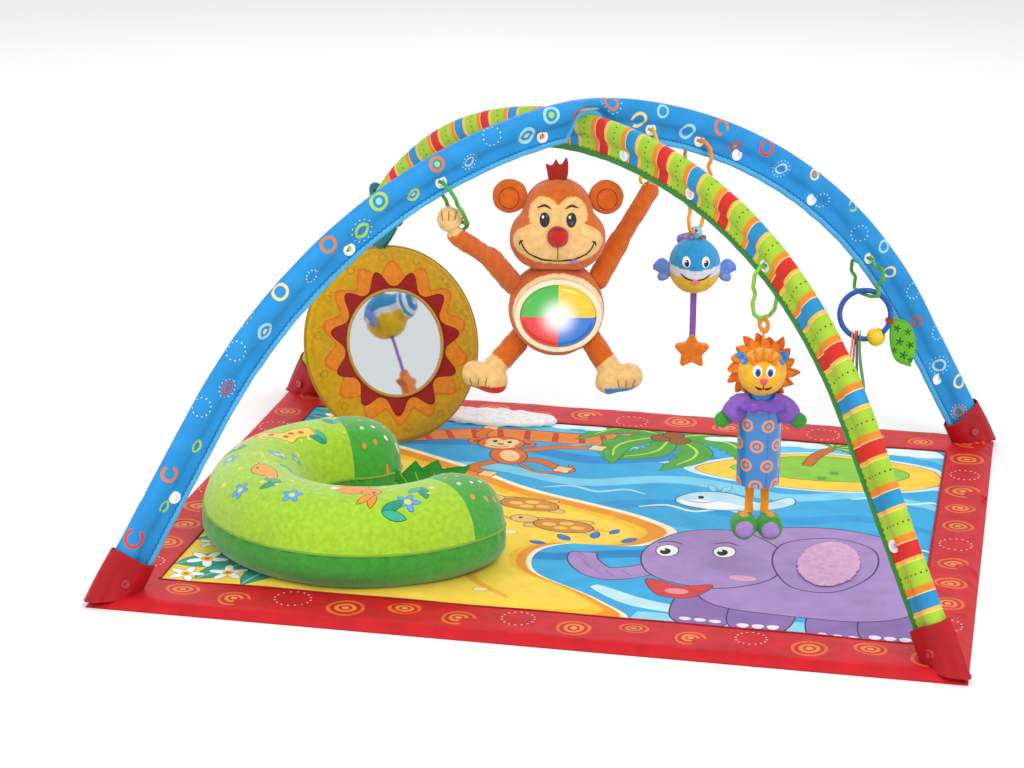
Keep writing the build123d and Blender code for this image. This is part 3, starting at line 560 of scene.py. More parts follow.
look_from()
light("key_softbox", (1.6, -2.4, 2.8), 1.6, 58)
light("fill_softbox", (-2.4, -1.8, 1.6), 2.2, 16)
light("back_softbox", (-0.6, 2.6, 2.2), 2.0, 22)
world = bpy.data.worlds.new("studio")
world.use_nodes = True
world.node_tree.nodes["Background"].inputs["Color"].default_value = colour("#FFFFFF")
world.node_tree.nodes["Background"].inputs["Strength"].default_value = 0.8
bpy.context.scene.world = world
bpy.context.scene.view_settings.view_transform = "Standard"

floor_finish, _, floor_shader = finish_of("pale_floor", Roughness=0.9)
floor_shader.inputs["Base Color"].default_value = colour("#FCFCFC")
floor = make_piece("floor", [(-9000, -9000, 0), (9000, -9000, 0), (9000, 9000, 0), (-9000, 9000, 0)],
                   [[0, 1, 2, 3]], [floor_finish])

# ------------------------------------------------------------------ mat
mat_x, mat_y = np.array(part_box("mat_border")[1])[:2] / mm
panel_x, panel_y = np.array(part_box("mat_panel")[1])[:2] / mm
line, ink = "#2E2A28", "#15110F"
border_red = "#CF0E1D"
monkey_print, skin_print = "#E8701C", "#FFD59A"


def mat_height(x, y):
    """Padded top: 10 mm over the wadding, thin at the hems, with slow waves from lying on a floor."""
    hem = np.clip(np.minimum(mat_x - np.abs(x), mat_y - np.abs(y)) / 14, 0, 1)
    inside = np.clip(np.minimum(panel_x - np.abs(x), panel_y - np.abs(y)) / 10, -1, 1)
    seam = -2.0 * np.exp(-(inside * 2.2) ** 2)
    soft = ripples(x, y, 170, 1.2, 3) * np.clip((inside + 1) / 2, 0, 1)
    return 3.5 + 6.5 * np.sqrt(np.clip(1 - (1 - hem) ** 2, 0, 1)) + seam + soft


def lie_flat(flat):
    """Panel on the mat's top."""
    x, y = flat[:, 0], flat[:, 1]
    return np.stack([x, y, mat_height(x, y)], axis=1)


def palm_frond(x, y, length, turn, bend):
    """Broad palm leaf with a notched lower edge, drawn as a bent spine with blades."""
    first, last = math.radians(turn), math.radians(turn + bend)
    spine = smooth_line([(x, y), (x + length * 0.55 * math.cos(first), y + length * 0.55 * math.sin(first)),
                         (x + length * math.cos(last), y + length * math.sin(last))], 8)
    side = sideways(spine)
    t = np.linspace(0, 1, len(spine))
    wide = length * 0.2 * np.sin(np.pi * np.clip(t * 0.95 + 0.04, 0, 1))
    notch = wide * (1 - 0.35 * (np.arange(len(spine)) % 2))
    blade = np.vstack([spine + side * wide[:, None] * 0.7, (spine - side * notch[:, None])[::-1]])
    return edged(blade, "#4FA63A", "#1F6B2C", 1.4) + [(stroke(spine[1:-1:3], 4), "#BFE15A")]


def blossom(x, y, reach, turn=0.0, fill="#FFFFFF"):
    """Five-petalled flower with a yellow heart."""
    return (edged(petals(x, y, 5, reach, reach * 0.35, turn), fill, "#6D8F7E", 1.0)
            + [(oval(x, y, reach * 0.3), "#F6C21A"), (oval(x, y, reach * 0.14), "#E0701A")])


def sea_and_beach():
    """Sea with foam lines, a beach with a wet rim, and a far shore."""
    shapes = [([(-438, 341), (438, 341), (438, -341), (-438, -341)], "#35ADE3")]
    for row, code in enumerate(("#63C6EE", "#1E8FD2", "#7FD3F2", "#2A9DDB", "#58BFEA", "#1B86CB")):
        y = 280 - row * 92
        wave = [(-300, y + 20), (-160, y + 44), (-20, y + 8), (110, y + 46), (240, y + 10), (350, y + 40),
                (470, y + 4)]
        shapes.append((stroke(wave, 34 - 2 * row), code))
    for row in range(9):
        x, y = -60 + 130 * (row % 4), 250 - 44 * row
        foam = [(x, y), (x + 34, y + 13), (x + 70, y - 2), (x + 104, y + 12), (x + 132, y)]
        shapes.append((stroke(foam, 6), "#DDF5FC" if row % 2 else "#A9E2F6"))
    rim = [(-460, 150), (-330, 190), (-190, 130), (-95, 60), (0, 20), (72, -16), (112, -58), (78, -112),
           (2, -122), (-34, -160), (-22, -222), (60, -286), (96, -341), (-30, -360), (-460, -360)]
    beach = smooth_loop(rim, 7)
    middle = np.array([-220, -150])
    shapes += [(middle + (beach - middle) * 1.055, "#FFF6D2"), (middle + (beach - middle) * 1.02, "#F39A1E"),
               (middle + (beach - middle) * 0.95, "#FBC623"), (beach * 0.9 + middle * 0.1, "#FFD84A")]
    dune = smooth_loop([(-430, 60), (-300, 96), (-190, 40), (-140, -30), (-250, -60), (-440, -40)], 6)
    shapes += [(dune, "#B9D94A")]
    shapes += [(stroke([(-120, -30), (-60, -60), (-10, -58), (50, -70)], 9), "#F2A52C"),
               (stroke([(-120, -120), (-80, -190), (-86, -250), (-30, -310)], 12), "#F6B62E")]
    for x, y in ((-70, -96), (20, -80), (-120, -210), (-66, -290), (-180, -300)):
        shapes += edged(oval(x, y, 9, 6), "#FDF0B4", "#D48A1C", 1)
    return shapes


def island():
    """Far island with a hill, a ringed shore and a palm."""
    shore = smooth_loop([(120, 196), (200, 262), (300, 286), (420, 256), (430, 190), (340, 152), (210, 152)],
                        7)
    middle = shore.mean(axis=0)
    hill = smooth_loop([(165, 206), (225, 262), (310, 276), (392, 240), (372, 196), (260, 180)], 7)
    shapes = [(middle + (shore - middle) * 1.1, "#CFF0FA")] + edged(shore, "#FFD23E", "#E0861B", 2.2)
    shapes += edged(hill, "#8CCB3A", "#3F8F2D", 1.6)
    for x, y in ((220, 222), (262, 246), (300, 214), (338, 240), (286, 190)):
        shapes.append((petals(x, y, 6, 9, 5), "#57A431"))
    shapes += edged(stroke([(262, 236), (270, 276), (290, 318)], 15, 0.8), "#C96A24", line, 1.2)
    for turn in (20, 62, 110, 156, -20):
        shapes += palm_frond(290, 316, 62, turn, -30 if turn < 90 else 30)
    return shapes


def great_palm():
    """Leaning palm across the middle: a banded trunk and a spread of fronds."""
    route = [(-330, 190), (-250, 250), (-150, 276), (-40, 282), (30, 300), (70, 328)]
    trunk = stroke(route, 42, 0.75)
    shapes = edged(trunk, "#F0862A", line, 1.8)
    line_points = smooth_line(route, 9)
    for index in range(2, len(line_points) - 3, 3):
        here, there = line_points[index], line_points[index + 1]
        along = (there - here) / np.linalg.norm(there - here)
        side = np.array([-along[1], along[0]]) * 18
        band = [here - side, here - side + along * 9, here + side + along * 5, here + side - along * 3]
        shapes.append((np.array(band), "#CE3B1E"))
    for length, turn, bend in ((150, -12, -28), (150, -58, -30), (140, -100, -22), (130, 160, 34),
                               (120, 22, -20), (150, -140, 26), (110, 128, 30)):
        shapes += palm_frond(70, 322 if turn < 0 else 312, length, turn, bend)
    for x, y in ((58, 306), (84, 300), (72, 322)):
        shapes += edged(oval(x, y, 14), "#9A5A1E", line, 1.4)
    return shapes


def swinging_monkey(x, y):
    """Small printed monkey that hangs by one hand."""
    shapes = []
    for limb in ([(x + 4, y - 20), (x - 34, y + 26), (x - 26, y + 62)],
                 [(x + 28, y - 34), (x + 78, y + 2), (x + 124, y + 8)],
                 [(x + 30, y - 72), (x + 62, y - 62), (x + 96, y - 84)],
                 [(x + 8, y - 78), (x - 18, y - 104), (x + 6, y - 124)]):
        shapes += edged(stroke(limb, 15, 0.8), monkey_print, line, 1.3)
    shapes += edged(stroke([(x + 36, y - 76), (x + 70, y - 104), (x + 112, y - 92), (x + 106, y - 66)], 6,
                           0.5),
                    monkey_print, line, 1.2)
    shapes += edged(oval(x + 20, y - 50, 24, 36, 20), monkey_print, line, 1.4)
    shapes += [(oval(x + 22, y - 52, 13, 23, 20), skin_print)]
    for side in (-1, 1):
        shapes += edged(oval(x + side * 34, y + 4, 12), monkey_print, line, 1.3)
        shapes += [(oval(x + side * 34, y + 4, 6), "#B9401A")]
    shapes += edged(oval(x, y, 31, 28), monkey_print, line, 1.5)
    shapes += [(oval(x - 11, y + 6, 12, 14), skin_print), (oval(x + 11, y + 6, 12, 14), skin_print),
               (oval(x, y - 11, 21, 13), skin_print)]
    shapes += [(oval(x + side * 10, y + 7, 3.2, 5), ink) for side in (-1, 1)]
    shapes += [(oval(x, y - 4, 5, 3.4), "#A5301A"), (stroke([(x - 12, y - 12), (x, y - 19),
                                                             (x + 13, y - 12)], 2), ink)]
    for hand in ((x - 26, y + 66), (x + 130, y + 9), (x + 100, y - 86), (x + 8, y - 128)):
        shapes += edged(petals(*hand, 4, 13, 9, 30), skin_print, line, 1.2)
    return shapes


def turtle(x, y):
    """Small turtle on the beach."""
    shapes = []
    for dx, dy, turn in ((-34, -4, 200), (34, -14, -20), (20, 16, 20), (-22, 14, 160)):
        shapes += edged(oval(x + dx, y + dy, 15, 8, turn), "#E9C06A", line, 1.1)
    shapes += edged(oval(x - 52, y + 14, 17, 13), "#E9C06A", line, 1.2)
    shapes += [(oval(x - 57, y + 16, 2.4, 3.2), ink)]
    shapes += edged(oval(x, y, 38, 22, -8), "#D98A2C", line, 1.5)
    shapes += [(oval(x + dx, y + dy, 9, 6), "#F3C65A") for dx, dy in ((-18, 2), (2, 9), (18, -4), (-2, -8))]
    return shapes


def small_whale(x, y):
    """Pale whale that looks out of the waves."""
    shapes = edged(smooth_loop([(x - 56, y - 6), (x - 34, y + 26), (x + 10, y + 30), (x + 52, y + 2),
                                (x + 84, y + 34),
                                (x + 92, y + 8), (x + 62, y - 24), (x + 6, y - 36), (x - 40, y - 26)], 6),
                   "#BFE6F5", "#2A5E88", 1.8)
    shapes += [(smooth_loop([(x - 52, y - 8), (x - 10, y - 2), (x + 34, y - 18), (x + 4, y - 34),
                             (x - 38, y - 26)], 6),
                "#F5FBFE"), (oval(x - 26, y + 8, 4, 5.5), ink),
               (stroke([(x - 46, y - 6), (x - 24, y - 12), (x - 4, y - 2)], 2), "#2A5E88")]
    for dx, turn in ((-12, 110), (-2, 70)):
        shapes += edged(leaf(x + dx, y + 34, 26, 6, turn), "#8FD8F2", "#2A5E88", 1)
    return shapes


def elephant():
    """Bathing elephant in lilac, its raised trunk to the left."""
    skin, shade, dark = "#A98BC6", "#8D6FB0", "#4A3566"
    shapes = [(stroke([(120, -330), (210, -352), (320, -340), (430, -352)], 60), "#8FD8F2"),
              (stroke([(60, -250), (120, -290), (200, -310)], 26), "#C6EEF9")]
    for x, y in ((196, -318), (262, -322), (352, -330), (410, -322)):
        shapes += edged(smooth_loop([(x - 30, y + 70), (x + 30, y + 70), (x + 34, y - 8), (x, y - 22),
                                     (x - 34, y - 8)], 6),
                        shade, dark, 1.8)
        shapes += [(oval(x + dx, y - 10, 7, 5), "#F4E9F7") for dx in (-17, 0, 17)]
    shapes += edged(smooth_loop([(186, -60), (250, -8), (330, 2), (408, -40), (436, -130), (434, -250),
                                 (370, -292),
                                 (270, -290), (190, -262), (170, -160)], 8), skin, dark, 2.2)
    trunk = [(150, -150), (98, -196), (62, -206), (36, -176), (30, -148)]
    shapes += edged(stroke(trunk, 38, 0.75), skin, dark, 2.0)
    line_points = smooth_line(trunk, 6)[4:-2:3]
    for here in line_points:
        shapes.append((stroke([here + (-7, 9), here + (0, 0), here + (8, -9)], 2), shade))
    shapes += edged(smooth_loop([(102, -118), (140, -48), (210, -34), (262, -92), (262, -180), (210, -226),
                                 (150, -222),
                                 (112, -184)], 8), skin, dark, 2.2)
    shapes += edged(smooth_loop([(118, -214), (160, -232), (196, -222), (176, -262), (138, -262)], 6),
                    "#D6423B", dark, 1.6)
    shapes += [(oval(158, -248, 14, 8), "#F291A6")]
    for x, y in ((128, -118), (196, -108)):
        shapes += edged(oval(x, y, 13, 18), "#FFFFFF", dark, 1.5) + [(oval(x - 2, y - 3, 6.5, 10), ink),
                                                                     (oval(x - 5, y + 2, 2.4, 3), "#FFFFFF")]
        shapes.append((stroke([(x - 16, y + 24), (x, y + 32), (x + 16, y + 24)], 3), dark))
    shapes += edged(smooth_loop([(272, -50), (322, -30), (372, -66), (376, -140), (340, -206), (290, -206),
                                 (262, -150),
                                 (256, -92)], 8), skin, dark, 2.2)
    shapes += [(oval(228, -190, 16, 9), "#E9A7C6")]
    return shapes


def splashes():
    """Drops thrown from the trunk, and small clouds."""
    shapes = []
    for x, y, turn, size in ((6, -112, 130, 26), (34, -98, 90, 24), (-20, -130, 160, 22), (70, -104, 50, 24),
                             (52, -78, 70, 20)):
        shapes += edged(leaf(x, y, size, size * 0.26, turn), "#2F7FC9", "#134A86", 1.2)
    for x, y, size in ((236, 318, 24), (380, 316, 30), (150, 318, 18), (-60, 326, 20)):
        for dx in (-1, 0, 1):
            shapes.append((oval(x + dx * size, y + 3 * (dx == 0), size * 0.95, size * 0.5), "#E9F8FD"))
    return shapes


def meadow():
    """Broad leaves and blossoms of the near left corner."""
    shapes = []
    for x, y, length, turn in ((-438, 300, 120, -20), (-438, 240, 130, -42), (-438, 330, 110, -6),
                               (-400, 338, 90, -70),
                               (-438, -120, 110, 20), (-438, -200, 120, -10), (-438, -290, 130, 24),
                               (-400, -330, 120, 52),
                               (-340, -338, 110, 70), (-438, -60, 90, 40), (-438, 120, 120, -14),
                               (-438, 30, 110, 8)):
        shapes += edged(leaf(x, y, length, length * 0.2, turn), "#2FA08A", "#156B5B", 1.6)
        shapes.append((stroke([(x, y), (x + length * 0.9 * math.cos(math.radians(turn)),
                                        y + length * 0.9 * math.sin(math.radians(turn)))], 3), "#9EDCC0"))
    for x, y, reach, turn in ((-404, -268, 26, 0), (-366, -306, 24, 30), (-414, -318, 22, 10),
                              (-330, -272, 18, 50),
                              (-412, -214, 20, 20), (-398, 298, 22, 0), (-352, 316, 18, 40),
                              (-412, 70, 20, 15)):
        shapes += blossom(x, y, reach, turn)
    return shapes


def border_place(flat):
    """Border satin: the mat's rim turned down to the floor, gathered a little along its length."""
    x, y = flat[:, 0], flat[:, 1]
    z = mat_height(x, y)
    outside = np.minimum(mat_x - np.abs(x), mat_y - np.abs(y))
    crease = ripples(x, y, 38, 1.0, 8) * np.clip(outside / 18, 0, 1) * np.clip((62 - outside) / 30, 0.25, 1)
    z = np.where(outside < 0.6, 0.4, z + crease)
    return np.stack([x, y, z], axis=1)


def border_print():
    """Concentric rings, arches and dotted circles, in orange and white on red."""
    rng = np.random.default_rng(11)
    shapes = []
    pitch = 66
    spots = []
    for step in range(int(2 * mat_x / pitch)):
        x = -mat_x + pitch * (step + 0.5)
        spots += [(x, -mat_y + 42 + 14 * (step % 2)), (x + 12, mat_y - 42 - 12 * (step % 2))]
    for step in range(int((2 * mat_y - 180) / pitch)):
        y = -mat_y + 100 + pitch * (step + 0.5)
        spots += [(-mat_x + 32, y), (mat_x - 32, y + 10)]
    for number, (x, y) in enumerate(spots):
        size = rng.uniform(17, 23)
        kind = number // 2 % 4
        if kind == 3:
            for outline in dotted(x, y, size, 1.3, 16):
                shapes.append((outline, "#F7D9C6"))
            continue
        squeeze = 0.78 if kind == 1 else 1.0
        for share, code in ((1.0, "#E8702A"), (0.82, border_red), (0.58, "#F08A3A"), (0.36, border_red),
                            (0.2, "#F3A25A")):
            shapes.append((oval(x, y, size * share, size * share * squeeze, rng.uniform(-20, 20)), code))
        if kind == 2:
            shapes.append((oval(x + size * 0.8, y - size * 0.5, size * 0.7, size * 0.6), border_red))
    return shapes


print_shapes = (sea_and_beach() + island() + great_palm() + swinging_monkey(-150, 236) + turtle(-66, 6)
                + turtle(-10, -62) + small_whale(168, 74) + elephant() + splashes() + meadow())
mat_top = cut_cloth("mat_printed_panel", (panel_x, panel_y), 12, "#35ADE3", print_shapes, lie_flat,
                    printed_cotton)
carried("mat", "printed_cotton", mat_top)
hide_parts("mat_panel", "mat_batting")

panel_rim = [(-panel_x, -panel_y), (panel_x, -panel_y), (panel_x, panel_y), (-panel_x, panel_y)]
border = cut_cloth("mat_border_satin", (mat_x, mat_y), 10, border_red, border_print(),
                   border_place, red_satin, holes=[panel_rim])
carried("mat", "red_cotton", border)
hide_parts("mat_border")
dress("mat_backing", woven("backing_taffeta", 1.2 * mm, 0.1 * mm, 0.5, 0.2, base="#B3121C"))

cord_corners = np.array([(-1, -1), (1, -1), (1, 1), (-1, 1)]) * (panel_x + 1, panel_y + 1)
for number, (start, end) in enumerate(zip(cord_corners, np.roll(cord_corners, -1, axis=0))):
    t = np.linspace(0, 1, 120)[:, None]
    run = start * (1 - t) + end * t
    path = np.column_stack([run, mat_height(run[:, 0], run[:, 1]) + 0.9])
    cord = tube(f"mat_piping_{number + 1}", path, 1.3, red_satin, "#A50D18", sides=8)
    carried("mat", "red_cotton", cord)


# ------------------------------------------------------------------ arches
class Arch:
    """Arch line of a crown arc, a side arc and a straight leg, mirrored about its middle."""

    def __init__(self, across, height, crown_radius, crown_angle, side_radius, side_angle):
        self.across = np.array([*across, 0.0]) / math.hypot(*across)
        self.normal = np.cross(self.across, (0, 0, 1))
        self.crown_radius, self.side_radius = crown_radius, side_radius
        self.crown_angle, self.side_angle = math.radians(crown_angle), math.radians(side_angle)
        self.crown_length = crown_radius * self.crown_angle
        self.leg_start = self.crown_length + side_radius * (self.side_angle - self.crown_angle)
        gap = crown_radius - side_radius
        self.crown_centre = (0.0, height - crown_radius)
        self.side_centre = (gap * math.sin(self.crown_angle),
                            height - crown_radius + gap * math.cos(self.crown_angle))

    def at(self, length, depth=0.0, out=0.0):
        """Points at a length along the outer line, a depth below it and a distance out of its plane."""
        length, depth, out = np.broadcast_arrays(*(np.asarray(v, dtype=float) for v in (length, depth, out)))
        run, side = np.abs(length), np.where(length < 0, -1.0, 1.0)
        crown = run <= self.crown_length
        angle = np.where(crown, run / self.crown_radius,
                         self.crown_angle + (run - self.crown_length) / self.side_radius)
        angle = np.minimum(angle, self.side_angle)
        beyond = np.maximum(run - self.leg_start, 0)
        radius = np.where(crown, self.crown_radius, self.side_radius) - depth
        middle_x, middle_z = (np.where(crown, *pair) for pair in zip(self.crown_centre, self.side_centre))
        x = middle_x + radius * np.sin(angle) + beyond * np.cos(angle)
        z = middle_z + radius * np.cos(angle) - beyond * np.sin(angle)
        upright = z[..., None] * np.array([0, 0, 1.0])
        return (side * x)[..., None] * self.across + upright + out[..., None] * self.normal

    def length_at(self, height, depth=0.0):
        """Length along the outer line where the leg passes a height."""
        start = self.at(self.leg_start, depth)[2]
        return self.leg_start + (start - height) / math.sin(self.side_angle)


blue = Arch((2 * mat_x, 2 * mat_y), 534, 360, 10.0, 678, 58.3)
green = Arch((2 * mat_x, -2 * mat_y), 516, 690, 19.2, 508, 58.2)
sleeve_foot = 30.0
band_depth = 50.0
eyelet_depth, eyelet_bore = 34.0, 4.9
blue_eyelets = (-732, -365, -220, -70, 97, 175, 239, 382, 519, 745)
green_eyelets = (-721, -354, -202, -75, 75, 202, 354, 721)
sleeve_blue = "#1E93DA"

# Section of a sleeve from the top of its rod channel down to the binding: (depth, half thickness).
channel = np.linspace(0, 1.0, 26)
section_angle = channel * np.radians(166)
section_depth = np.concatenate([13.5 - 13.5 * np.cos(section_angle), [32, 37, 42, 46, 48]])
section_half = np.concatenate([9.2 * np.sin(section_angle) ** 0.72, [1.5, 1.5, 1.5, 1.6, 1.6]])
section_run = np.concatenate([[0], np.cumsum(np.hypot(np.diff(section_depth), np.diff(section_half)))])
section_reach = section_run[-1]


def sleeve_place(arch, seed, dip=None):
    """Sleeve cloth: flat u runs along the arch and v round the section from edge to edge."""
    def place(flat):
        u, v = flat[:, 0], flat[:, 1]
        run = np.abs(v)
        depth = np.interp(run, section_run, section_depth)
        half = np.interp(run, section_run, section_half)
        stitch = np.exp(-((depth - 27.5) / 4.0) ** 2)
        gather = ripples(u, v * 0.35, 17, 0.55, seed) * (0.35 + stitch)
        puff = ripples(u, v, 90, 0.7, seed + 1)
        half = np.clip(half + (gather + puff) * (half > 2.2), 1.2, None)
        if dip is not None:
            near = np.exp(-(u / dip[0]) ** 4)
            depth = depth - dip[1] * near * np.clip(depth / band_depth, 0, 1)
        return arch.at(u, depth, np.sign(v) * half)
    return place


def ring_print(seed, end):
    """Rings, broken rings and dotted circles scattered along the blue sleeve."""
    rng = np.random.default_rng(seed)
    shapes = []
    bright = ("#F07A1E", "#FBE39A", "#B6D84A", "#A9DCF4", "#E8452A")
    pitch = 41.0
    for step in range(int(2 * end / pitch)):
        for side in (-1, 1):
            u = -end + pitch * (step + 0.5) + rng.uniform(-6, 6)
            v = side * (13 + 19 * ((step + (side > 0)) % 2) + rng.uniform(-3, 3))
            size = rng.uniform(7.5, 12.5)
            kind = rng.integers(0, 5)
            if kind == 4:
                shapes += [(outline, "#F2FAFF") for outline in dotted(u, v, size, 0.9, 12)]
                continue
            code = bright[rng.integers(0, len(bright))]
            shapes += [(oval(u, v, size), code), (oval(u, v, size * 0.66), sleeve_blue)]
            if kind == 1:
                shapes.append((oval(u, v, size * 0.34), bright[rng.integers(0, 4)]))
            if kind == 2:
                turn = rng.uniform(0, 360)
                wedge = [(u, v)] + [(u + 1.3 * size * math.cos(math.radians(turn + a)),
                                     v + 1.3 * size * math.sin(math.radians(turn + a))) for a in (-28, 0, 28)]
                shapes.append((np.array(wedge), sleeve_blue))
            if kind == 0:
                shapes += [(outline, "#F2FAFF") for outline in dotted(u, v, size * 1.35, 0.8, 14)]
    return shapes


def band_print(end):
    """Red and blue bands with orange and cream edges, and dotted lines between them, on lime."""
    shapes = []
    reach = section_reach + 4
    pitch = 58.0

    def stripe(middle, wide, code):
        half = wide / 2
        outline = [(middle - half, -reach), (middle + half, -reach), (middle + half, reach),
                   (middle - half, reach)]
        shapes.append((np.array(outline), code))

    for step in range(int(2 * end / pitch) + 1):
        middle = -end + pitch * (step + 0.3)
        code = "#D8261C" if step % 2 else "#1F8FC9"
        stripe(middle, 30, "#FBE9B0")
        stripe(middle - 12, 8, "#F08A22")
        stripe(middle + 12, 5, "#F6C04A")
        stripe(middle + 1.5, 17, code)
        for row in range(int(2 * reach / 7)):
            v = -reach + 7 * (row + 0.5)
            shapes.append((oval(middle + pitch / 2, v, 1.2, count=6), "#2C4A1C"))
    return shapes


def zigzag(arch, name, side, depth, out, end, code):
    """Zigzag stitching along a sleeve, 3 mm wide with a stitch each 3.5 mm."""
    u = np.arange(-end, end, 3.5)
    swing = np.where(np.arange(len(u)) % 2, 1.4, -1.4)
    path = arch.at(u, depth + swing, side * out)
    thread = tube(name, path, 0.45, embroidery, code, sides=4)
    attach(thread, "arches")


def dress_arch(arch, word, ground, prints, tape, thread, seed, eyelets, dip=None):
    """One arch's sleeve, its folded edge tape and its two rows of stitching."""
    end = arch.length_at(sleeve_foot)
    eyelet_run = float(np.interp(eyelet_depth, section_depth, section_run))
    bores = [oval(length, side * eyelet_run, eyelet_bore) for length in eyelets for side in (-1, 1)]
    sleeve = cut_cloth(f"{word}_sleeve_cloth", (end, section_reach), 4.2, ground, prints,
                       sleeve_place(arch, seed, dip), sleeve_cotton, holes=bores)
    carried("arches", f"{word}_print", sleeve)
    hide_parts(f"{word}_arch_sleeve")
    u = np.linspace(-end, end, 420)
    angle = np.linspace(0, 2 * np.pi, 12, endpoint=False)
    tape_depth = band_depth - 3.6 + 3.9 * np.cos(angle)[None, :] + ripples(u, u * 0, 30, 0.35, seed)[:, None]
    lift = 0 if dip is None else dip[1] * np.exp(-(u / dip[0]) ** 4)[:, None]
    edge = loft(f"{word}_edge_tape", arch.at(u[:, None], tape_depth - lift, 3.1 * np.sin(angle)[None, :]),
                bias_tape, tape, closed=True, cap=True)
    carried("arches", f"{word}_binding", edge)
    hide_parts(f"{word}_arch_binding")
    for side in (-1, 1):
        zigzag(arch, f"{word}_stitching_{'front' if side > 0 else 'back'}", side, band_depth - 7.6, 2.2, end,
               thread)


blue_end = blue.length_at(sleeve_foot)
green_end = green.length_at(sleeve_foot)
dress_arch(blue, "blue", sleeve_blue, ring_print(4, blue_end), "#4DB4EC", "#0E6CAE", 21,
           blue_eyelets, dip=(26.0, 30.0))
dress_arch(green, "green", "#A7CE32", band_print(green_end), "#2E8B3A", "#5C8F1E", 31,
           green_eyelets)

dress("eyelets", moulded("eyelet_acetal", "#EEF1F3", 0.3))
dress("arch_rods", moulded("glass_fibre_rod", "#D8D6C4", 0.4))
dress("rod_ferrules", drawn_metal("drawn_steel_ferrule", "#B9BBBF", 0.35))
dress("rod_tips", moulded("black_rod_cap", "#16181A", 0.5))


def corner_pocket(arch, side, number):
    """Cloth pocket round an arch's foot: an upright oval tube, gathered at its seam to the mat, with a snap.

    Half-widths fall from the mat to the hem; uneven folds run up it, deepest at the bottom.
    """
    top, bottom = 64.0, 9.0
    t = np.linspace(0, 1, 26)[:, None]
    angle = np.linspace(0, 2 * np.pi, 72, endpoint=False)[None, :]
    height = bottom + (top - bottom) * t
    length = side * (arch.length_at(0) - height / math.sin(arch.side_angle))
    folds = (1 + 0.09 * np.sin(5 * angle + 1.3 * number) * (1 - 0.6 * t)
             + 0.05 * np.sin(11 * angle + number) * (1 - t))
    flare = 1 + 0.30 * (1 - t) ** 2
    rows = []
    for inner in (0.0, 1.6):
        half_thick = (12.4 - inner) * flare * folds
        half_deep = (30.5 - inner) * (1 + 0.06 * (1 - t)) * (1 + 0.02 * np.sin(7 * angle + number))
        sag = 1.2 * np.sin(3 * angle + number) * t
        middle = arch.at(length, band_depth / 2 - 1)
        downhill = arch.at(length, 60.0) - arch.at(length, 0.0)
        inward = downhill / np.linalg.norm(downhill, axis=-1, keepdims=True)
        spot = (middle + inward * (half_deep * np.cos(angle))[..., None]
                + arch.normal * (half_thick * np.sin(angle))[..., None])
        spot[..., 2] += sag - 0.42 * (spot[..., 2] - middle[..., 2]) * (1 - t) ** 3
        spot[..., 2] = np.maximum(spot[..., 2], bottom - 1)
        limit = np.array([mat_x + 3, mat_y + 3])
        spot[..., :2] = np.clip(spot[..., :2], -limit, limit)
        rows.append(spot if inner == 0 else spot[::-1])
    piece = loft(f"corner_pocket_{number}", np.concatenate(rows), red_satin, "#B00C18", closed=True)
    snap_length = side * arch.length_at(38)
    turn = np.linspace(0, 2 * np.pi, 24, endpoint=False)[None, :]
    radius = np.array([6.2, 6.2, 5.6, 4.0, 2.4, 0.1])[:, None]
    rise = np.array([-2.0, 0.8, 1.5, 1.9, 1.3, 1.2])[:, None]
    centre = arch.at(snap_length, band_depth / 2)
    along = arch.at(snap_length + 1, band_depth / 2) - centre
    along /= np.linalg.norm(along)
    deep = np.cross(arch.normal, along)
    disc = (centre + arch.normal * (13.6 + rise)[..., None] + along * (radius * np.cos(turn))[..., None]
            + deep * (radius * np.sin(turn))[..., None])
    snap = loft(f"pocket_snap_{number}", disc, snap_plastic, "#C7202B", closed=True)
    carried("mat", "red_cotton", piece, snap)
    for part in (piece, snap):
        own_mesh(part)
    return piece, snap


snap_plastic = moulded("red_snap_acetal", "#A81420", 0.35)
pockets = [corner_pocket(arch, side, 1 + number * 2 + (side > 0))
           for number, arch in enumerate((blue, green)) for side in (-1, 1)]
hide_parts("corner_pockets")
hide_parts("pocket_snaps")


# ------------------------------------------------------------------ monkey
def two_tone(base, rules):
    """A colouring rule: the base colour, then each (mask, colour) over it, for points in millimetres."""
    def tint(points):
        tones = np.tile(colour(base), (len(points), 1))
        for mask, code in rules:
            tones[mask(points)] = colour(code)
        return tones
    return tint


lean = math.radians(11)
monkey = Facing((-30, -25, 285), (math.cos(lean), math.sin(lean), 0), (math.sin(lean), -math.cos(lean), 0))
orange_fur, cream_fur, red_fur = "#D9661A", "#F3C681", "#A8241A"


def monkey_mask(points):
    """Heart-shaped face and muzzle."""
    x, y, z = monkey.local(points)
    brows = ((np.abs(x) - 16) / 19) ** 2 + ((y - 118) / 21) ** 2 < 1
    muzzle = (x / 54) ** 2 + ((y - 86) / 27) ** 2 < 1
    return (z > 10) & (brows | muzzle)


def belly_mask(points):
    """Cream ring round the light on the belly."""
    x, y, z = monkey.local(points)
    return (np.hypot((x - 2) / 55, (y + 5) / 49) < 1) & (z > 12)


head = soft_copy("monkey_head_plush", "monkey_head", 2.6, 10,
                 two_tone(orange_fur, [(monkey_mask, cream_fur)]),
                 plush, "monkey", "orange_plush", relief=0.4, swell=0.4)
soft_copy("monkey_body_plush", "monkey_torso", 2.4, 6,
          two_tone(orange_fur, [(belly_mask, "#FBE3B4")]),
          plush, "monkey", "orange_plush", relief=0.5, swell=0.3)


def near(centre, radius):
    """Mask of the points within a ball."""
    return lambda points: np.linalg.norm(points - np.asarray(centre), axis=1) < radius


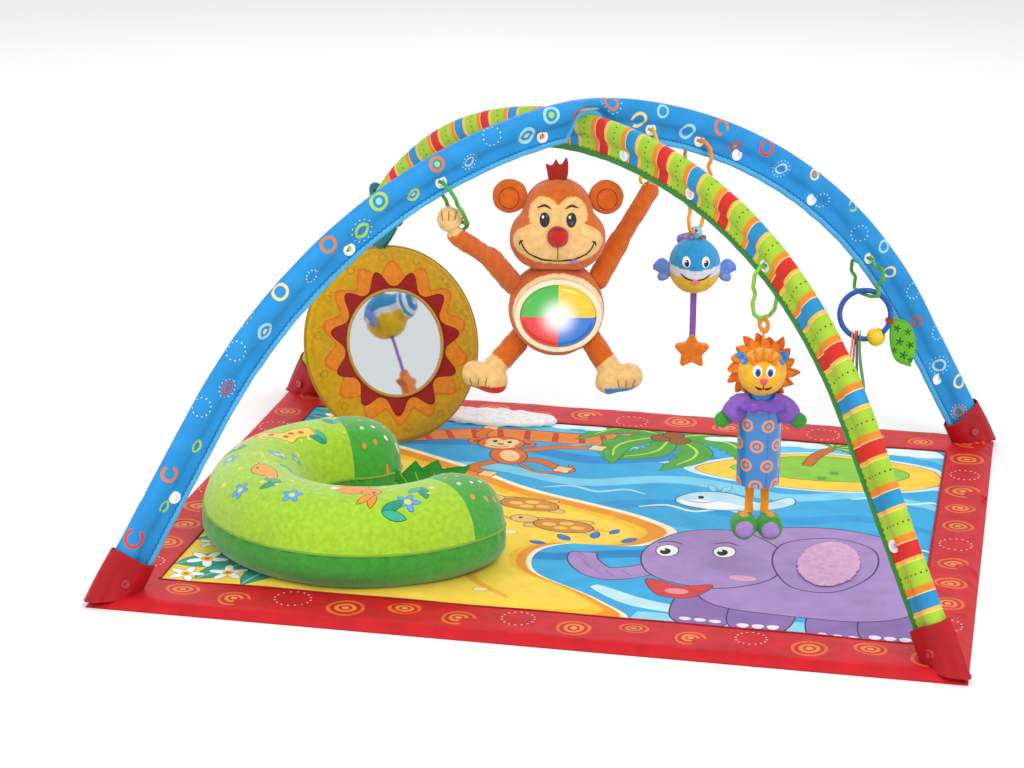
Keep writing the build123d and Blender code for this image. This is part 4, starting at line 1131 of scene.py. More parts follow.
left_hook = np.array(joints["monkey_swing"]["pos_m"]) / mm
right_hook = np.array((63.72, 54.16, 428.8))
left_palm = left_hook - blue.across * 18 + (0, 0, 6)
right_palm = right_hook + blue.across * 18 + (0, 0, 8)
arms = soft_copy("monkey_arms_plush", "monkey_arms", 2.2, 7,
                 two_tone(orange_fur, [(near(left_palm, 21), cream_fur), (near(right_palm, 21), cream_fur)]),
                 plush, "monkey", "orange_plush", relief=0.6, swell=0.4)


left_foot = monkey.point(-86, -90, 20)
right_foot = monkey.point(78, -90, 20)


def sole(side):
    """Underside of the foot on one side of the body."""
    return lambda points: (monkey.local(points)[1] < -98) & (monkey.local(points)[0] * side > 60)


legs = soft_copy("monkey_legs_plush", "monkey_legs", 2.2, 7,
                 two_tone(orange_fur, [(near(left_foot, 31), cream_fur), (near(right_foot, 31), cream_fur),
                                       (sole(-1), "#D8261C"), (sole(1), "#2C8FD0")]),
                 plush, "monkey", "orange_plush", relief=0.6, swell=0.4)


def trim_tint(points):
    """Ears orange outside and red within; the tuft and nose red."""
    x, y, _ = monkey.local(points)
    tones = np.tile(colour(red_fur), (len(points), 1))
    tones[(np.abs(x) > 34) & (y < 158)] = colour(orange_fur)
    return tones


trim = soft_copy("monkey_ears_tuft_and_nose", "monkey_head_trim", 1.9, 6, trim_tint, plush, "monkey",
                 "red_plush",
                 relief=0.4, swell=0.3)
soft_copy("monkey_wrist_loops_felt", "monkey_wrist_loops", 1.0, 2,
          two_tone("#F2C230", [(lambda points: points[:, 0] < -30, "#3F9A3A")]), felt, "monkey",
          "yellow_plush")


def on_face(name, outline, code, finish=embroidery, **how):
    """A sewn feature on the monkey's head."""
    return sewn_on(name, outline, monkey, [head], code, finish, "monkey", **how)


for word, side in (("left", -1), ("right", 1)):
    sewn_on(f"monkey_inner_ear_{word}", oval(side * 59, 132, 13, 14), monkey, [trim], red_fur, plush,
            "monkey",
            lift=0.3, dome=-1.2)
pupil_black = "#0B0908"
glossy_eye = moulded("black_eye_thread", "#050404", 0.42)
for word, side in (("left", -1), ("right", 1)):
    on_face(f"monkey_eye_{word}", oval(side * 16, 113, 6.2, 8.6), pupil_black, glossy_eye, dome=2.2)
    on_face(f"monkey_glint_{word}", oval(side * 16 - 2, 116.5, 1.4, 1.8), "#FFFFFF", lift=2.9)
    brow = stroke([(side * 8, 126), (side * 16, 130), (side * 25, 126)], 1.8)
    on_face(f"monkey_brow_{word}", brow, "#5A2A10", lift=0.5)
nose_shape = smooth_loop([(-12, 100), (0, 103), (12, 100), (9, 89), (0, 81), (-9, 89)], 5)
sewn_on("monkey_nose_pad", nose_shape, monkey, [head, trim], "#C5261D", plush, "monkey", lift=0.5, dome=2.5)
for word, side in (("left", -1), ("right", 1)):
    for part, route in (("outer", [(44, 86), (40, 78), (33, 71)]), ("inner", [(34, 72), (18, 65), (0, 63)])):
        piece_route = [(side * x, y) for x, y in route]
        on_face(f"monkey_smile_{part}_{word}", stroke(piece_route, 1.8, 0.8), "#2A1208")
on_face("monkey_muzzle_seam", stroke([(0, 82), (0.5, 72), (0, 64)], 1.3, 0.7), "#8A5A2A", lift=0.4)
on_face("monkey_tongue", oval(20, 63, 4.6, 4.2), "#B58BC8", felt, lift=0.6)
for word, side in (("left", -1), ("right", 1)):
    on_face(f"monkey_cheek_stitch_{word}", stroke([(side * 41, 88), (side * 45, 86), (side * 46, 81)], 1.6),
            "#2A1208")


def seam_rows(name, centre, spread, under):
    """Finger or toe seams: three short dark grooves side by side across a stuffed hand or foot."""
    here = Facing(centre, np.cross((0, 0, 1), monkey.out), monkey.out)
    for number in range(3):
        offset = (number - 1) * spread
        groove = stroke([(offset, -6), (offset * 1.15, 0), (offset * 1.3, 6)], 1.3, 0.5)
        sewn_on(f"{name}_{number + 1}", groove, here, [under], "#9A6A34", embroidery, "monkey", lift=0.25,
                reach=60.0)


for name, centre, spread, under in (("left_finger_seam", left_palm + (0, 0, 6), 7, arms),
                                    ("right_finger_seam", right_palm + (0, 0, 6), 7, arms),
                                    ("left_toe_seam", monkey.point(-94, -92, 24), 8, legs),
                                    ("right_toe_seam", monkey.point(86, -92, 24), 8, legs)):
    seam_rows(name, centre, spread, under)


# ------------------------------------------------------------------ belly light
def quartered_lens():
    """Tinted polycarbonate lens in four colours with light behind it: a soft glow, paler at the middle."""
    made, tree, shader = finish_of("quartered_polycarbonate", Roughness=0.12, Coat_Weight=0.6,
                                   Coat_Roughness=0.04)
    where = add(tree, "TexCoord", {}).outputs["Object"]
    centre = monkey.point(2, -5, 40) * mm
    moved = add(tree, "VectorMath", {0: where, 1: tuple(float(v) for v in centre)}, operation="SUBTRACT")
    across = add(tree, "VectorMath", {0: moved.outputs["Vector"], 1: tuple(monkey.across)},
                 operation="DOT_PRODUCT")
    up = add(tree, "VectorMath", {0: moved.outputs["Vector"], 1: (0, 0, 1)}, operation="DOT_PRODUCT")
    right = add(tree, "Math", {0: across.outputs["Value"], 1: 0.0}, operation="GREATER_THAN").outputs["Value"]
    above = add(tree, "Math", {0: up.outputs["Value"], 1: 0.0}, operation="GREATER_THAN").outputs["Value"]
    rows = []
    for left_code, right_code in (("#D3242A", "#1765B8"), ("#3FA23A", "#F2B21C")):
        rows.append(add(tree, "Mix", {"Factor": right, "A": colour(left_code), "B": colour(right_code)},
                        data_type="RGBA"))
    mixed = tree.nodes.new("ShaderNodeMix")
    mixed.data_type = "RGBA"
    tree.links.new(above, mixed.inputs["Factor"])
    tree.links.new(rows[0].outputs[2], mixed.inputs[6])
    tree.links.new(rows[1].outputs[2], mixed.inputs[7])
    glow = add(tree, "VectorMath", {0: moved.outputs["Vector"]}, operation="LENGTH").outputs["Value"]
    middle = add(tree, "MapRange", {"Value": glow, "From Min": 0.0, "From Max": 0.034, "To Min": 0.85,
                                    "To Max": 0.0},
                 interpolation_type="SMOOTHERSTEP").outputs["Result"]
    pale = tree.nodes.new("ShaderNodeMix")
    pale.data_type = "RGBA"
    pale.inputs[7].default_value = colour("#FFFFFF")
    tree.links.new(middle, pale.inputs["Factor"])
    tree.links.new(mixed.outputs[2], pale.inputs[6])
    tree.links.new(pale.outputs[2], shader.inputs["Base Color"])
    tree.links.new(pale.outputs[2], shader.inputs["Emission Color"])
    shader.inputs["Emission Strength"].default_value = 0.35
    return made


dress("light_lens", quartered_lens())
for node, finish in (("light_housing", moulded("cream_abs_housing", "#F6E7C6", 0.4)),
                     ("battery_door", moulded("grey_abs_door", "#C9CBCC", 0.45)),
                     ("battery_door_screw", drawn_metal("zinc_plated_screw", "#A9ABAF", 0.3)),
                     ("batteries", moulded("battery_sleeve", "#1E2B38", 0.3)),
                     ("circuit_board", moulded("solder_mask", "#1F6B3A", 0.35)),
                     ("led_lamps", moulded("clear_led_epoxy", "#E9F1F4", 0.1)),
                     ("speaker", moulded("speaker_paper", "#22221F", 0.7)),
                     ("mode_switch", moulded("black_switch_nylon", "#1A1B1D", 0.5)),
                     ("monkey_link_green", moulded("green_polypropylene_link", "#3FA32C", 0.3)),
                     ("monkey_link_yellow", moulded("yellow_polypropylene_link", "#F2B61B", 0.3)),
                     ("lion_link", moulded("lime_polypropylene_link", "#7CC024", 0.3)),
                     ("rattle_link", moulded("leaf_polypropylene_link", "#4BA728", 0.3)),
                     ("whale_link_upper", moulded("orange_polypropylene_link", "#F28A16", 0.3)),
                     ("whale_link_lower", moulded("amber_polypropylene_link", "#F39A1C", 0.3)),
                     ("rattle_ring", moulded("blue_abs_ring", "#1557B0", 0.2)),
                     ("rattle_bead", moulded("yellow_abs_bead", "#F4CB1A", 0.2)),
                     ("pull_cord_casing", moulded("natural_nylon_casing", "#DAD6C8", 0.5)),
                     ("cord_drum", moulded("white_nylon_drum", "#E6E4DC", 0.45)),
                     ("chime_bars", drawn_metal("drawn_aluminium_bar", "#C6C9CC", 0.3)),
                     ("chime_striker", moulded("white_striker_nylon", "#E8E6DF", 0.4))):
    dress(node, finish)

# ------------------------------------------------------------------ whale
whale_hook = np.array(joints["whale_swing"]["pos_m"]) / mm
whale = Facing((whale_hook[0], whale_hook[1], 309), monkey.across, monkey.out)


def whale_tint(points):
    """Blue back, lilac-white lip band, yellow belly, with striped tail end."""
    x, y, z = whale.local(points)
    tones = np.tile(colour("#2C9BD6"), (len(points), 1))
    level = y - 0.10 * np.abs(x) + 0.05 * z
    tones[level < 2] = colour("#E3E4F2")
    tones[level < -9] = colour("#F7C51E")
    behind = z < -38
    band = np.floor((z + 200) / 5.0).astype(int) % 2 == 0
    tones[behind & band] = colour("#EEF6FA")
    tones[behind & ~band] = colour("#2C9BD6")
    return tones


whale_skin = soft_copy("whale_body_velour", "whale_body", 1.7, 8, whale_tint, plush, "whale", "blue_plush",
                       relief=0.3, swell=0.3)
soft_copy("whale_fins_velour", "whale_fins_and_tail", 1.5, 5,
          two_tone("#7C9BE0", [(lambda points: whale.local(points)[2] < -60, "#8B62B8")]), plush, "whale",
          "blue_plush",
          relief=0.3)
soft_copy("whale_star_padded", "whale_star", 1.1, 6, two_tone("#F0801C", []), velour, "whale_star",
          "orange_felt", swell=0.5)
soft_copy("whale_strap_ribbon", "whale_strap", 0.9, 2, two_tone("#8FC9EE", []), felt, "whale", "blue_plush")
dress("pull_cord", piled("purple_grosgrain_cord", 0.9 * mm, 0.2 * mm, 0.2, base="#8E5FB8"))


def on_whale(name, outline, code, finish=embroidery, **how):
    """A sewn feature on the whale's face."""
    return sewn_on(name, outline, whale, [whale_skin], code, finish, "whale", **how)


for word, side in (("left", -1), ("right", 1)):
    on_whale(f"whale_eye_white_{word}", oval(side * 12, 11, 5.2, 7), "#FFFFFF", dome=0.8)
    on_whale(f"whale_pupil_{word}", oval(side * 12 + 0.6, 10, 3.0, 4.4), pupil_black, glossy_eye, lift=1.5,
             dome=0.8)
    on_whale(f"whale_glint_{word}", oval(side * 12 - 0.6, 12.4, 1.0), "#FFFFFF", lift=2.6)
for word, side in (("left", -1), ("right", 1)):
    on_whale(f"whale_smile_{word}", stroke([(side * 19, -4), (side * 11, -10), (0, -12)], 1.5, 0.8),
             "#1A1512")
on_whale("whale_tongue", smooth_loop([(-4, -11.5), (4, -11.5), (5, -16), (0, -18), (-5, -16)], 4), "#E98AA4",
         felt,
         lift=0.8)
for side, word in ((-1, "left"), (1, "right")):
    t = np.linspace(0, 1, 10)[:, None]
    turn = np.linspace(0, 2 * np.pi, 18, endpoint=False)[None, :]
    reach = whale.point(side * (26 + 26 * t[:, 0]), -10 + 10 * np.sin(2.2 * t[:, 0]), 4 * np.ones(10))
    half = (2.5 + 8.5 * np.sin(np.pi * np.clip(t * 0.9 + 0.08, 0, 1)))
    flipper = (reach[:, None] + whale.up * (half * np.cos(turn))[..., None]
               + whale.out * (0.32 * half * np.sin(turn))[..., None])
    piece = loft(f"whale_flipper_{word}", flipper, plush, "#6E8FE0", closed=True, cap=True)
    carried("whale", "blue_plush", piece)
for number, code in enumerate(("#D8261C", "#3FA23A", "#2C6FC4", "#E7679A", "#F4C51C", "#D8261C", "#3FA23A")):
    angle = number / 7 * 2 * np.pi
    t = np.linspace(0, 1, 9)
    out = 4 + 9 * np.sin(1.4 * t)
    path = whale.point(out * math.cos(angle), 33 + 11 * t - 9 * t ** 3, out * math.sin(angle) * 0.7)
    strand = tube(f"whale_tuft_{number + 1}", path, 1.9 * (1 - 0.4 * t), felt, code, sides=6, squash=0.6)
    carried("whale", "blue_plush", strand)

# ------------------------------------------------------------------ lion chime
lion_hook = np.array(joints["lion_swing"]["pos_m"]) / mm
lion = Facing((lion_hook[0], lion_hook[1], 272), monkey.across, monkey.out)
lion_face = soft_copy("lion_face_plush", "lion_head", 1.7, 5, two_tone("#F7B92A", []), plush, "lion",
                      "yellow_plush", relief=0.3)


def mane_layer(name, count, reach, waist, depth, thick, code, seed):
    """Felt mane: a disc whose rim is cut into uneven tufts, dished a little towards the back."""
    rng = np.random.default_rng(seed)
    angle = np.linspace(0, 2 * np.pi, 12 * count, endpoint=False)
    tuft = np.repeat(rng.uniform(0.86, 1.08, count), 12)
    saw = (angle * count / (2 * np.pi)) % 1
    rim = waist + (reach * tuft - waist) * np.where(saw < 0.72, saw / 0.72, (1 - saw) / 0.28) ** 0.8
    share = np.linspace(0.05, 1, 12)[:, None]
    rows = []
    for face in (1, -1):
        radius = share * rim[None, :]
        dish = depth - 7 * (share ** 2) + face * thick / 2 * np.sqrt(np.clip(1 - share ** 8, 0, 1))
        rows.append(lion.point(radius * np.cos(angle), 1.2 + radius * np.sin(angle),
                               np.broadcast_to(dish, radius.shape)))
    rows = np.concatenate([rows[0], rows[1][::-1]])
    layer = loft(name, rows[::-1], felt, code, closed=True, cap=True)
    carried("lion", "orange_felt", layer)
    return layer


mane = mane_layer("lion_mane_back", 17, 43, 33, 0, 3.0, "#E8661A", 2)
mane_layer("lion_mane_front", 15, 37, 29, 5, 3.0, "#F0801C", 9)
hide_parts("lion_mane_and_hanger")
u = np.linspace(0, 2 * np.pi, 40)
loop_path = [lion_hook + (0, 0, -9 + 7.0 * math.cos(a)) + green.across * 7.0 * math.sin(a) for a in u]
hanger_loop = tube("lion_hanger_loop", np.array(loop_path), 3.6, ribbon_weave, "#F39A22", sides=8, squash=0.3)
t = np.linspace(0, 1, 12)[:, None]
stem = (lion_hook + (0, 0, -15.5)) * (1 - t) + lion.point(0, 26, -2) * t
hanger_stem = tube("lion_hanger_strap", stem, 4.6, ribbon_weave, "#F39A22", sides=10, squash=0.3)
carried("lion", "orange_felt", hanger_loop, hanger_stem)


def on_lion(name, outline, code, finish=embroidery, **how):
    """A sewn feature on the lion's face."""
    return sewn_on(name, outline, lion, [lion_face], code, finish, "lion", **how)


for word, side in (("left", -1), ("right", 1)):
    on_lion(f"lion_ear_{word}", oval(side * 24, 17, 6, 6), "#3C8FD8", felt, lift=0.8, dome=2.0)
    on_lion(f"lion_eye_white_{word}", oval(side * 7.5, 7, 5.4, 7), "#FFFFFF", dome=0.6)
    on_lion(f"lion_iris_{word}", oval(side * 7, 6, 3.4, 4.8), "#2C6FC4", lift=1.2, dome=0.4)
    on_lion(f"lion_pupil_{word}", oval(side * 6.8, 5.8, 1.8, 2.8), pupil_black, glossy_eye, lift=1.8,
            dome=0.5)
on_lion("lion_nose", smooth_loop([(-5, -3), (0, -1), (5, -3), (0, -9)], 5), "#E8578C", felt, lift=0.8,
        dome=2.4)
on_lion("lion_muzzle_line", stroke([(0, -9), (0, -13)], 1.2, 0.9), "#5A1A10")
on_lion("lion_smile", stroke([(-10, -11), (-5, -15), (0, -13.4), (5, -15), (10, -11)], 1.5, 0.6), "#5A1A10")
for number, angle in enumerate(np.linspace(35, 145, 5)):
    t = np.linspace(0, 1, 8)
    radius = 15 + 15 * t
    path = lion.point(radius * math.cos(math.radians(angle)) * 0.8,
                      9 + radius * math.sin(math.radians(angle)) * 0.75,
                      26 - 12 * t ** 2)
    lock = tube(f"lion_forelock_{number + 1}", path, 3.4 * (1 - 0.6 * t), felt, "#F0801C", sides=7,
                squash=0.6)
    carried("lion", "orange_felt", lock)


def ringed_shell():
    """Clear blue styrene tube printed with rows of orange rings: rings come from the distance to the nearest
    point of a staggered lattice in angle and height."""
    made, tree, shader = finish_of("printed_blue_styrene", Roughness=0.12, Coat_Weight=0.5,
                                   Coat_Roughness=0.05,
                                   IOR=1.58)
    where = add(tree, "TexCoord", {}).outputs["Object"]
    centre = tuple(float(v) for v in lion.point(0, 0, 0) * mm)
    moved = add(tree, "VectorMath", {0: where, 1: centre}, operation="SUBTRACT").outputs["Vector"]
    parts = add(tree, "SeparateXYZ", {"Vector": moved}).outputs
    angle = add(tree, "Math", {0: parts["Y"], 1: parts["X"]}, operation="ARCTAN2").outputs["Value"]
    cells = []
    row = add(tree, "Math", {0: parts["Z"], 1: 1 / 0.024}, operation="MULTIPLY").outputs["Value"]
    row_floor = add(tree, "Math", {0: row}, operation="FLOOR").outputs["Value"]
    shift = add(tree, "Math", {0: row_floor, 1: 0.5}, operation="MULTIPLY").outputs["Value"]
    turn = add(tree, "Math", {0: angle, 1: 6 / (2 * math.pi), 2: shift},
               operation="MULTIPLY_ADD").outputs["Value"]
    for value in (turn, row):
        part = add(tree, "Math", {0: value}, operation="FRACT").outputs["Value"]
        cells.append(add(tree, "Math", {0: part, 1: 0.5}, operation="SUBTRACT").outputs["Value"])
    spot = add(tree, "CombineXYZ", {"X": cells[0], "Y": cells[1]}).outputs["Vector"]
    away = add(tree, "VectorMath", {0: spot}, operation="LENGTH").outputs["Value"]
    ramp = add(tree, "ValToRGB", {"Fac": away})
    ramp.color_ramp.interpolation = "CONSTANT"
    marks = ((0.0, "#F07A1E"), (0.1, "#1677C4"), (0.2, "#F08A2A"), (0.31, "#1677C4"))
    ramp.color_ramp.elements[0].color = colour(marks[0][1])
    ramp.color_ramp.elements[1].position = marks[1][0]
    ramp.color_ramp.elements[1].color = colour(marks[1][1])
    for position, code in marks[2:]:
        ramp.color_ramp.elements.new(position).color = colour(code)
    tree.links.new(ramp.outputs["Color"], shader.inputs["Base Color"])
    return made


dress("chime_tube", ringed_shell())
dress("chime_caps", moulded("blue_styrene_cap", "#1670BC", 0.2))


def lion_limb_tint(points):
    """Green mittens and shoes, purple sleeves, orange leg ribbons and purple soles."""
    x, y, z = lion.local(points)
    tones = np.tile(colour("#3C9C34"), (len(points), 1))
    tones[(y > -75) & (np.abs(x) < 36)] = colour("#8A5FC0")
    tones[(y < -130) & (y > -171)] = colour("#F39A22")
    tones[(y < -171) & (z > 24)] = colour("#B08CD6")
    return tones


soft_copy("lion_limbs_plush", "lion_arms_and_legs", 1.5, 4, lion_limb_tint, plush, "lion", "green_plush",
          relief=0.4, swell=0.3)
for word, side in (("left", -1), ("right", 1)):
    t = np.linspace(0, 1, 14)[:, None]
    turn = np.linspace(0, 2 * np.pi, 20, endpoint=False)[None, :]
    path = lion.point(side * (12 + 24 * t[:, 0]), -33 - 20 * t[:, 0] ** 1.3, 8 + 0 * t[:, 0])
    half = 8.5 + 6.0 * np.sin(np.pi * t * 0.8)
    ahead = np.gradient(path, axis=0)
    ahead /= np.linalg.norm(ahead, axis=1, keepdims=True)
    side_way = np.cross(ahead, lion.out)
    puff = (path[:, None] + side_way[:, None] * (half * np.cos(turn))[..., None]
            + lion.out * (0.85 * half * np.sin(turn) * (1 + 0.06 * np.sin(6 * turn + 5 * t)))[..., None])
    sleeve = loft(f"lion_sleeve_{word}", puff, felt, "#8A5FC0", closed=True, cap=True)
    carried("lion", "green_plush", sleeve)
collar_angle = np.linspace(0, 2 * np.pi, 120, endpoint=False)
collar_rows = []
for share, drop in ((0.5, 0.0), (0.8, -3.0), (1.0, -9.0), (0.97, -9.5), (0.75, -4.5), (0.45, -2.0)):
    radius = 37 * share * (1 + 0.05 * np.sin(9 * collar_angle) * share)
    collar_rows.append(lion.point(radius * np.cos(collar_angle),
                                  -31 + drop + 1.8 * np.sin(9 * collar_angle) * share,
                                  radius * np.sin(collar_angle) * 0.92))
collar = loft("lion_collar", np.array(collar_rows), felt, "#7E52B8", closed=True)
carried("lion", "green_plush", collar)


# ------------------------------------------------------------------ ring rattle
ring_centre = np.array(joints["bead_travel"]["pos_m"]) / mm
ring_normal = np.array(joints["bead_travel"]["axis"])
ring_side = np.cross((0, 0, 1), ring_normal)
ring_radius = 33.0


def ring_spot(degrees):
    """Point on the ring's wire, in degrees from its lowest point."""
    angle = math.radians(degrees)
    return ring_centre + ring_side * ring_radius * math.sin(angle) - np.array((0, 0,
                                                                               ring_radius * math.cos(angle)))


page_spot = ring_spot(-18)
page_edge = smooth_loop([(-14, 4), (-17, -20), (-15, -50), (-6, -66), (10, -68), (20, -54), (21, -20),
                         (14, 4), (0, 9)], 6)
for number, code in enumerate(("#F7B79A", "#F08A3A", "#8E63B8", "#56A53A")):
    spread = number - 1.5
    share = np.array([1.0, 0.985, 0.93, 0.8, 0.55, 0.25, 0.02])
    puff = 1.35 * np.sqrt(np.clip(1 - share ** 6, 0, 1))
    rows = []
    for side, order in ((1, slice(None)), (-1, slice(None, None, -1))):
        for part, thick in list(zip(share, puff))[::-1][order]:
            flat = np.array((2, -30)) + (page_edge - (2, -30)) * part
            curl = spread * 3.3 + 0.0016 * spread * flat[:, 1] ** 2 * 0.9 + side * thick
            rows.append(page_spot + ring_normal * flat[:, :1] + np.array((0, 0, 1)) * flat[:, 1:]
                        + ring_side * curl[:, None])
    page = loft(f"rattle_page_{number + 1}", np.array(rows), printed_cotton, code, closed=True, cap=True)
    carried("rattle_pages", "page_cloth", page)
    if number == 0:
        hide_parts("rattle_pages")

leaf_spot = ring_spot(80)
leaf_frame = Facing(leaf_spot, ring_side, ring_normal)
leaf_edge = smooth_line([(0, 6), (26, -4), (36, -34), (30, -62)], 9)[:-1]
leaf_edge = np.vstack([leaf_edge, smooth_line([(30, -62), (10, -54), (1, -30), (0, 6)], 9)[:-1]])


def leaf_place(front):
    """Padded leaf: its thickness falls to its sewn rim, with a soft bow along its length."""
    def place(flat):
        middle = leaf_edge.mean(axis=0)
        spoke = flat - middle
        angle = np.arctan2(spoke[:, 1], spoke[:, 0])
        rim = leaf_edge - middle
        rim_angle = np.arctan2(rim[:, 1], rim[:, 0])
        order = np.argsort(rim_angle)
        reach = np.interp(angle, rim_angle[order], np.linalg.norm(rim, axis=1)[order], period=2 * np.pi)
        share = np.clip(np.linalg.norm(spoke, axis=1) / reach, 0, 1)
        puff = 3.2 * np.sqrt(np.clip(1 - share ** 2.5, 0, 1)) * (1 if front else -1)
        bow = 0.0022 * (flat[:, 1] + 28) ** 2 - 1.5
        return leaf_frame.point(flat[:, 0], flat[:, 1], puff + bow)
    return place


leaf_middle = leaf_edge.mean(axis=0)
leaf_prints = [(leaf_middle + (leaf_edge - leaf_middle) * share, code)
               for share, code in ((0.93, "#57AA24"), (0.90, "#6CBF2E"))]
leaf_prints += [(petals(x, y, 5, size, size * 0.25, turn), "#1F6E2A")
                for x, y, size, turn in ((10, -10, 5.5, 0), (24, -14, 5, 20), (14, -28, 6, 10),
                                         (28, -32, 5.5, 40),
                                         (20, -46, 6, 0), (29, -52, 4.5, 25), (8, -40, 4.5, 15))]
for word, front in (("front", True), ("back", False)):
    face = cut_to_outline(f"rattle_leaf_{word}", leaf_edge, 4, "#63B62A", leaf_prints, leaf_place(front),
                          velour,
                          back=not front)
    carried("rattle_leaf", "leaf_cloth", face)
    if front:
        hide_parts("rattle_leaf")
turn = np.linspace(0, 2 * np.pi, 30)
collar_path = [leaf_spot + ring_normal * 5.4 * math.cos(a) + ring_side * 5.4 * math.sin(a) for a in turn]
leaf_loop = tube("rattle_leaf_loop", np.array(collar_path), 2.6, ribbon_weave, "#D8261C", sides=8, squash=0.4)
page_path = [page_spot + ring_normal * 6.0 * math.cos(a) + np.array((0, 0, 6.0 * math.sin(a))) for a in turn]
page_loop = tube("rattle_page_loop", np.array(page_path), 4.0, ribbon_weave, "#F08A3A", sides=8, squash=0.35)
carried("rattle_leaf", "leaf_cloth", leaf_loop)
carried("rattle_pages", "page_cloth", page_loop)

# ------------------------------------------------------------------ mirror
mirror_centre = np.array(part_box("mirror_pad")).mean(axis=0) / mm
mirror_turn, mirror_lean = math.radians(-46.4), math.radians(18.3)
mirror_out = np.array((math.cos(mirror_lean) * math.cos(mirror_turn),
                       math.cos(mirror_lean) * math.sin(mirror_turn),
                       math.sin(mirror_lean)))
mirror_across = np.cross((0, 0, 1), mirror_out)
mirror_across /= np.linalg.norm(mirror_across)
mirror = Facing(mirror_centre, mirror_across, mirror_out)
mirror_radius, glass_radius = 131.0, 70.0


def pad_height(radius):
    """Half thickness of the mirror pad: a roll inside the rim seam and another round the glass."""
    share = np.clip((radius - glass_radius) / (mirror_radius - glass_radius), 0, 1)
    belly = np.sin(np.pi * np.clip(share * 0.94 + 0.03, 0, 1)) ** 0.55
    seam = 2.2 * np.exp(-((radius - (mirror_radius - 9)) / 2.0) ** 2)
    rim = np.sqrt(np.clip(1 - (radius / mirror_radius) ** 26, 0, 1))
    return np.where(radius > glass_radius - 0.5, (5.0 + 5.4 * belly) * rim - seam, 5.2)


def mirror_face_place(flat):
    """Front face of the pad, dished under the glass and puckered at its seams."""
    radius, angle = np.hypot(flat[:, 0], flat[:, 1]), np.arctan2(flat[:, 1], flat[:, 0])
    pucker = 0.5 * np.sin(46 * angle) * np.exp(-((radius - (mirror_radius - 9)) / 7) ** 2)
    height = pad_height(radius) + pucker * (radius < mirror_radius - 2)
    return mirror.point(flat[:, 0], flat[:, 1], height)


def round_face(name, prints, ground, place, finish, rings, back=False, spokes=220):
    """The pad's round face, with inner points on rings that crowd towards its rim."""
    steps = mirror_radius * np.sqrt(np.linspace(0.0, 1, rings + 1)[1:])
    inner = np.vstack([oval(0, 0, step, count=max(int(spokes * step / mirror_radius),
                                                  12)) for step in steps[:-1]]
                      + [[(0, 0)]])
    rim = dense(oval(0, 0, mirror_radius, count=spokes), 50)
    return printed(name, rim, inner, 5, ground, prints, place, finish, back=back)


def mirror_back_place(flat):
    """Back of the pad: crowned, and a little uneven."""
    x, y = flat[:, 0], flat[:, 1]
    radius = np.hypot(x, y)
    crown = -10.5 * np.sqrt(np.clip(1 - (radius / mirror_radius) ** 14, 0, 1))
    return mirror.point(x, y, crown + ripples(x, y, 60, 0.5, 6) * (radius < mirror_radius - 8))


def wavy(points, outer, inner, turn=0.0, sharp=1.0):
    """Sun outline of so many points, between two radii; sharp above 1 gives narrow points."""
    angle = np.linspace(0, 2 * np.pi, points * 14, endpoint=False)
    wave = (0.5 + 0.5 * np.cos(points * angle)) ** sharp
    radius = inner + (outer - inner) * wave
    angle = angle + math.radians(turn)
    return np.stack([radius * np.cos(angle), radius * np.sin(angle)], axis=1)


sun = [(wavy(14, 112, 92, 6, 0.9), "#E4761A"), (wavy(14, 108, 89, 6, 0.9), "#F08C1E"),
       (wavy(11, 99, 77, 0, 1.5), "#8E1414"), (wavy(11, 96.5, 75, 0, 1.5), "#A51B18"),
       (oval(0, 0, 73.5, count=60), "#C99A2A")]
for step in range(14):
    angle = 2 * math.pi * (step + 0.5) / 14
    x, y = 116 * math.cos(angle), 116 * math.sin(angle)
    sun += [(oval(x, y, 5.2), "#B8860F"), (oval(x, y, 4.0), "#DBA617")]
    x, y = x * 0.985 + 8 * math.sin(angle), y * 0.985 - 8 * math.cos(angle)
    sun += [(oval(x, y, 3.0), "#B8860F"), (oval(x, y, 2.1), "#DBA617")]
mirror_face = round_face("mirror_pad_face", sun, "#D8A414", mirror_face_place, velour, 24)
mirror_back = round_face("mirror_pad_back", [], "#C8101E", mirror_back_place, red_satin, 20, back=True)
carried("mirror", "mustard_cloth", mirror_face, mirror_back)
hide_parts("mirror_pad")
turn = np.linspace(0, 2 * np.pi, 220)
piping = tube("mirror_rim_piping", mirror.point(mirror_radius * np.cos(turn), mirror_radius * np.sin(turn),
                                                0 * turn),
              2.0, bias_tape, "#B98A12", sides=8)
rim = tube("mirror_gold_rim", mirror.point(71.5 * np.cos(turn), 71.5 * np.sin(turn), 8.3 + 0 * turn), 2.2,
           moulded("gold_abs_rim", "#C79A3A", 0.25), "#C79A3A", sides=10)
carried("mirror", "mustard_cloth", piping, rim)
silvered, mirror_tree, mirror_shader = finish_of("silvered_acrylic", Metallic=1.0, Roughness=0.03)
mirror_shader.inputs["Base Color"].default_value = colour("#E9EEF2")
mirror_wave = add(mirror_tree, "TexNoise", {"Vector": add(mirror_tree, "TexCoord", {}).outputs["Object"],
                                            "Scale": 18.0})
raise_relief(mirror_tree, mirror_shader, mirror_wave.outputs["Fac"], 0.03, 0.002)
dress("mirror_disc", silvered)

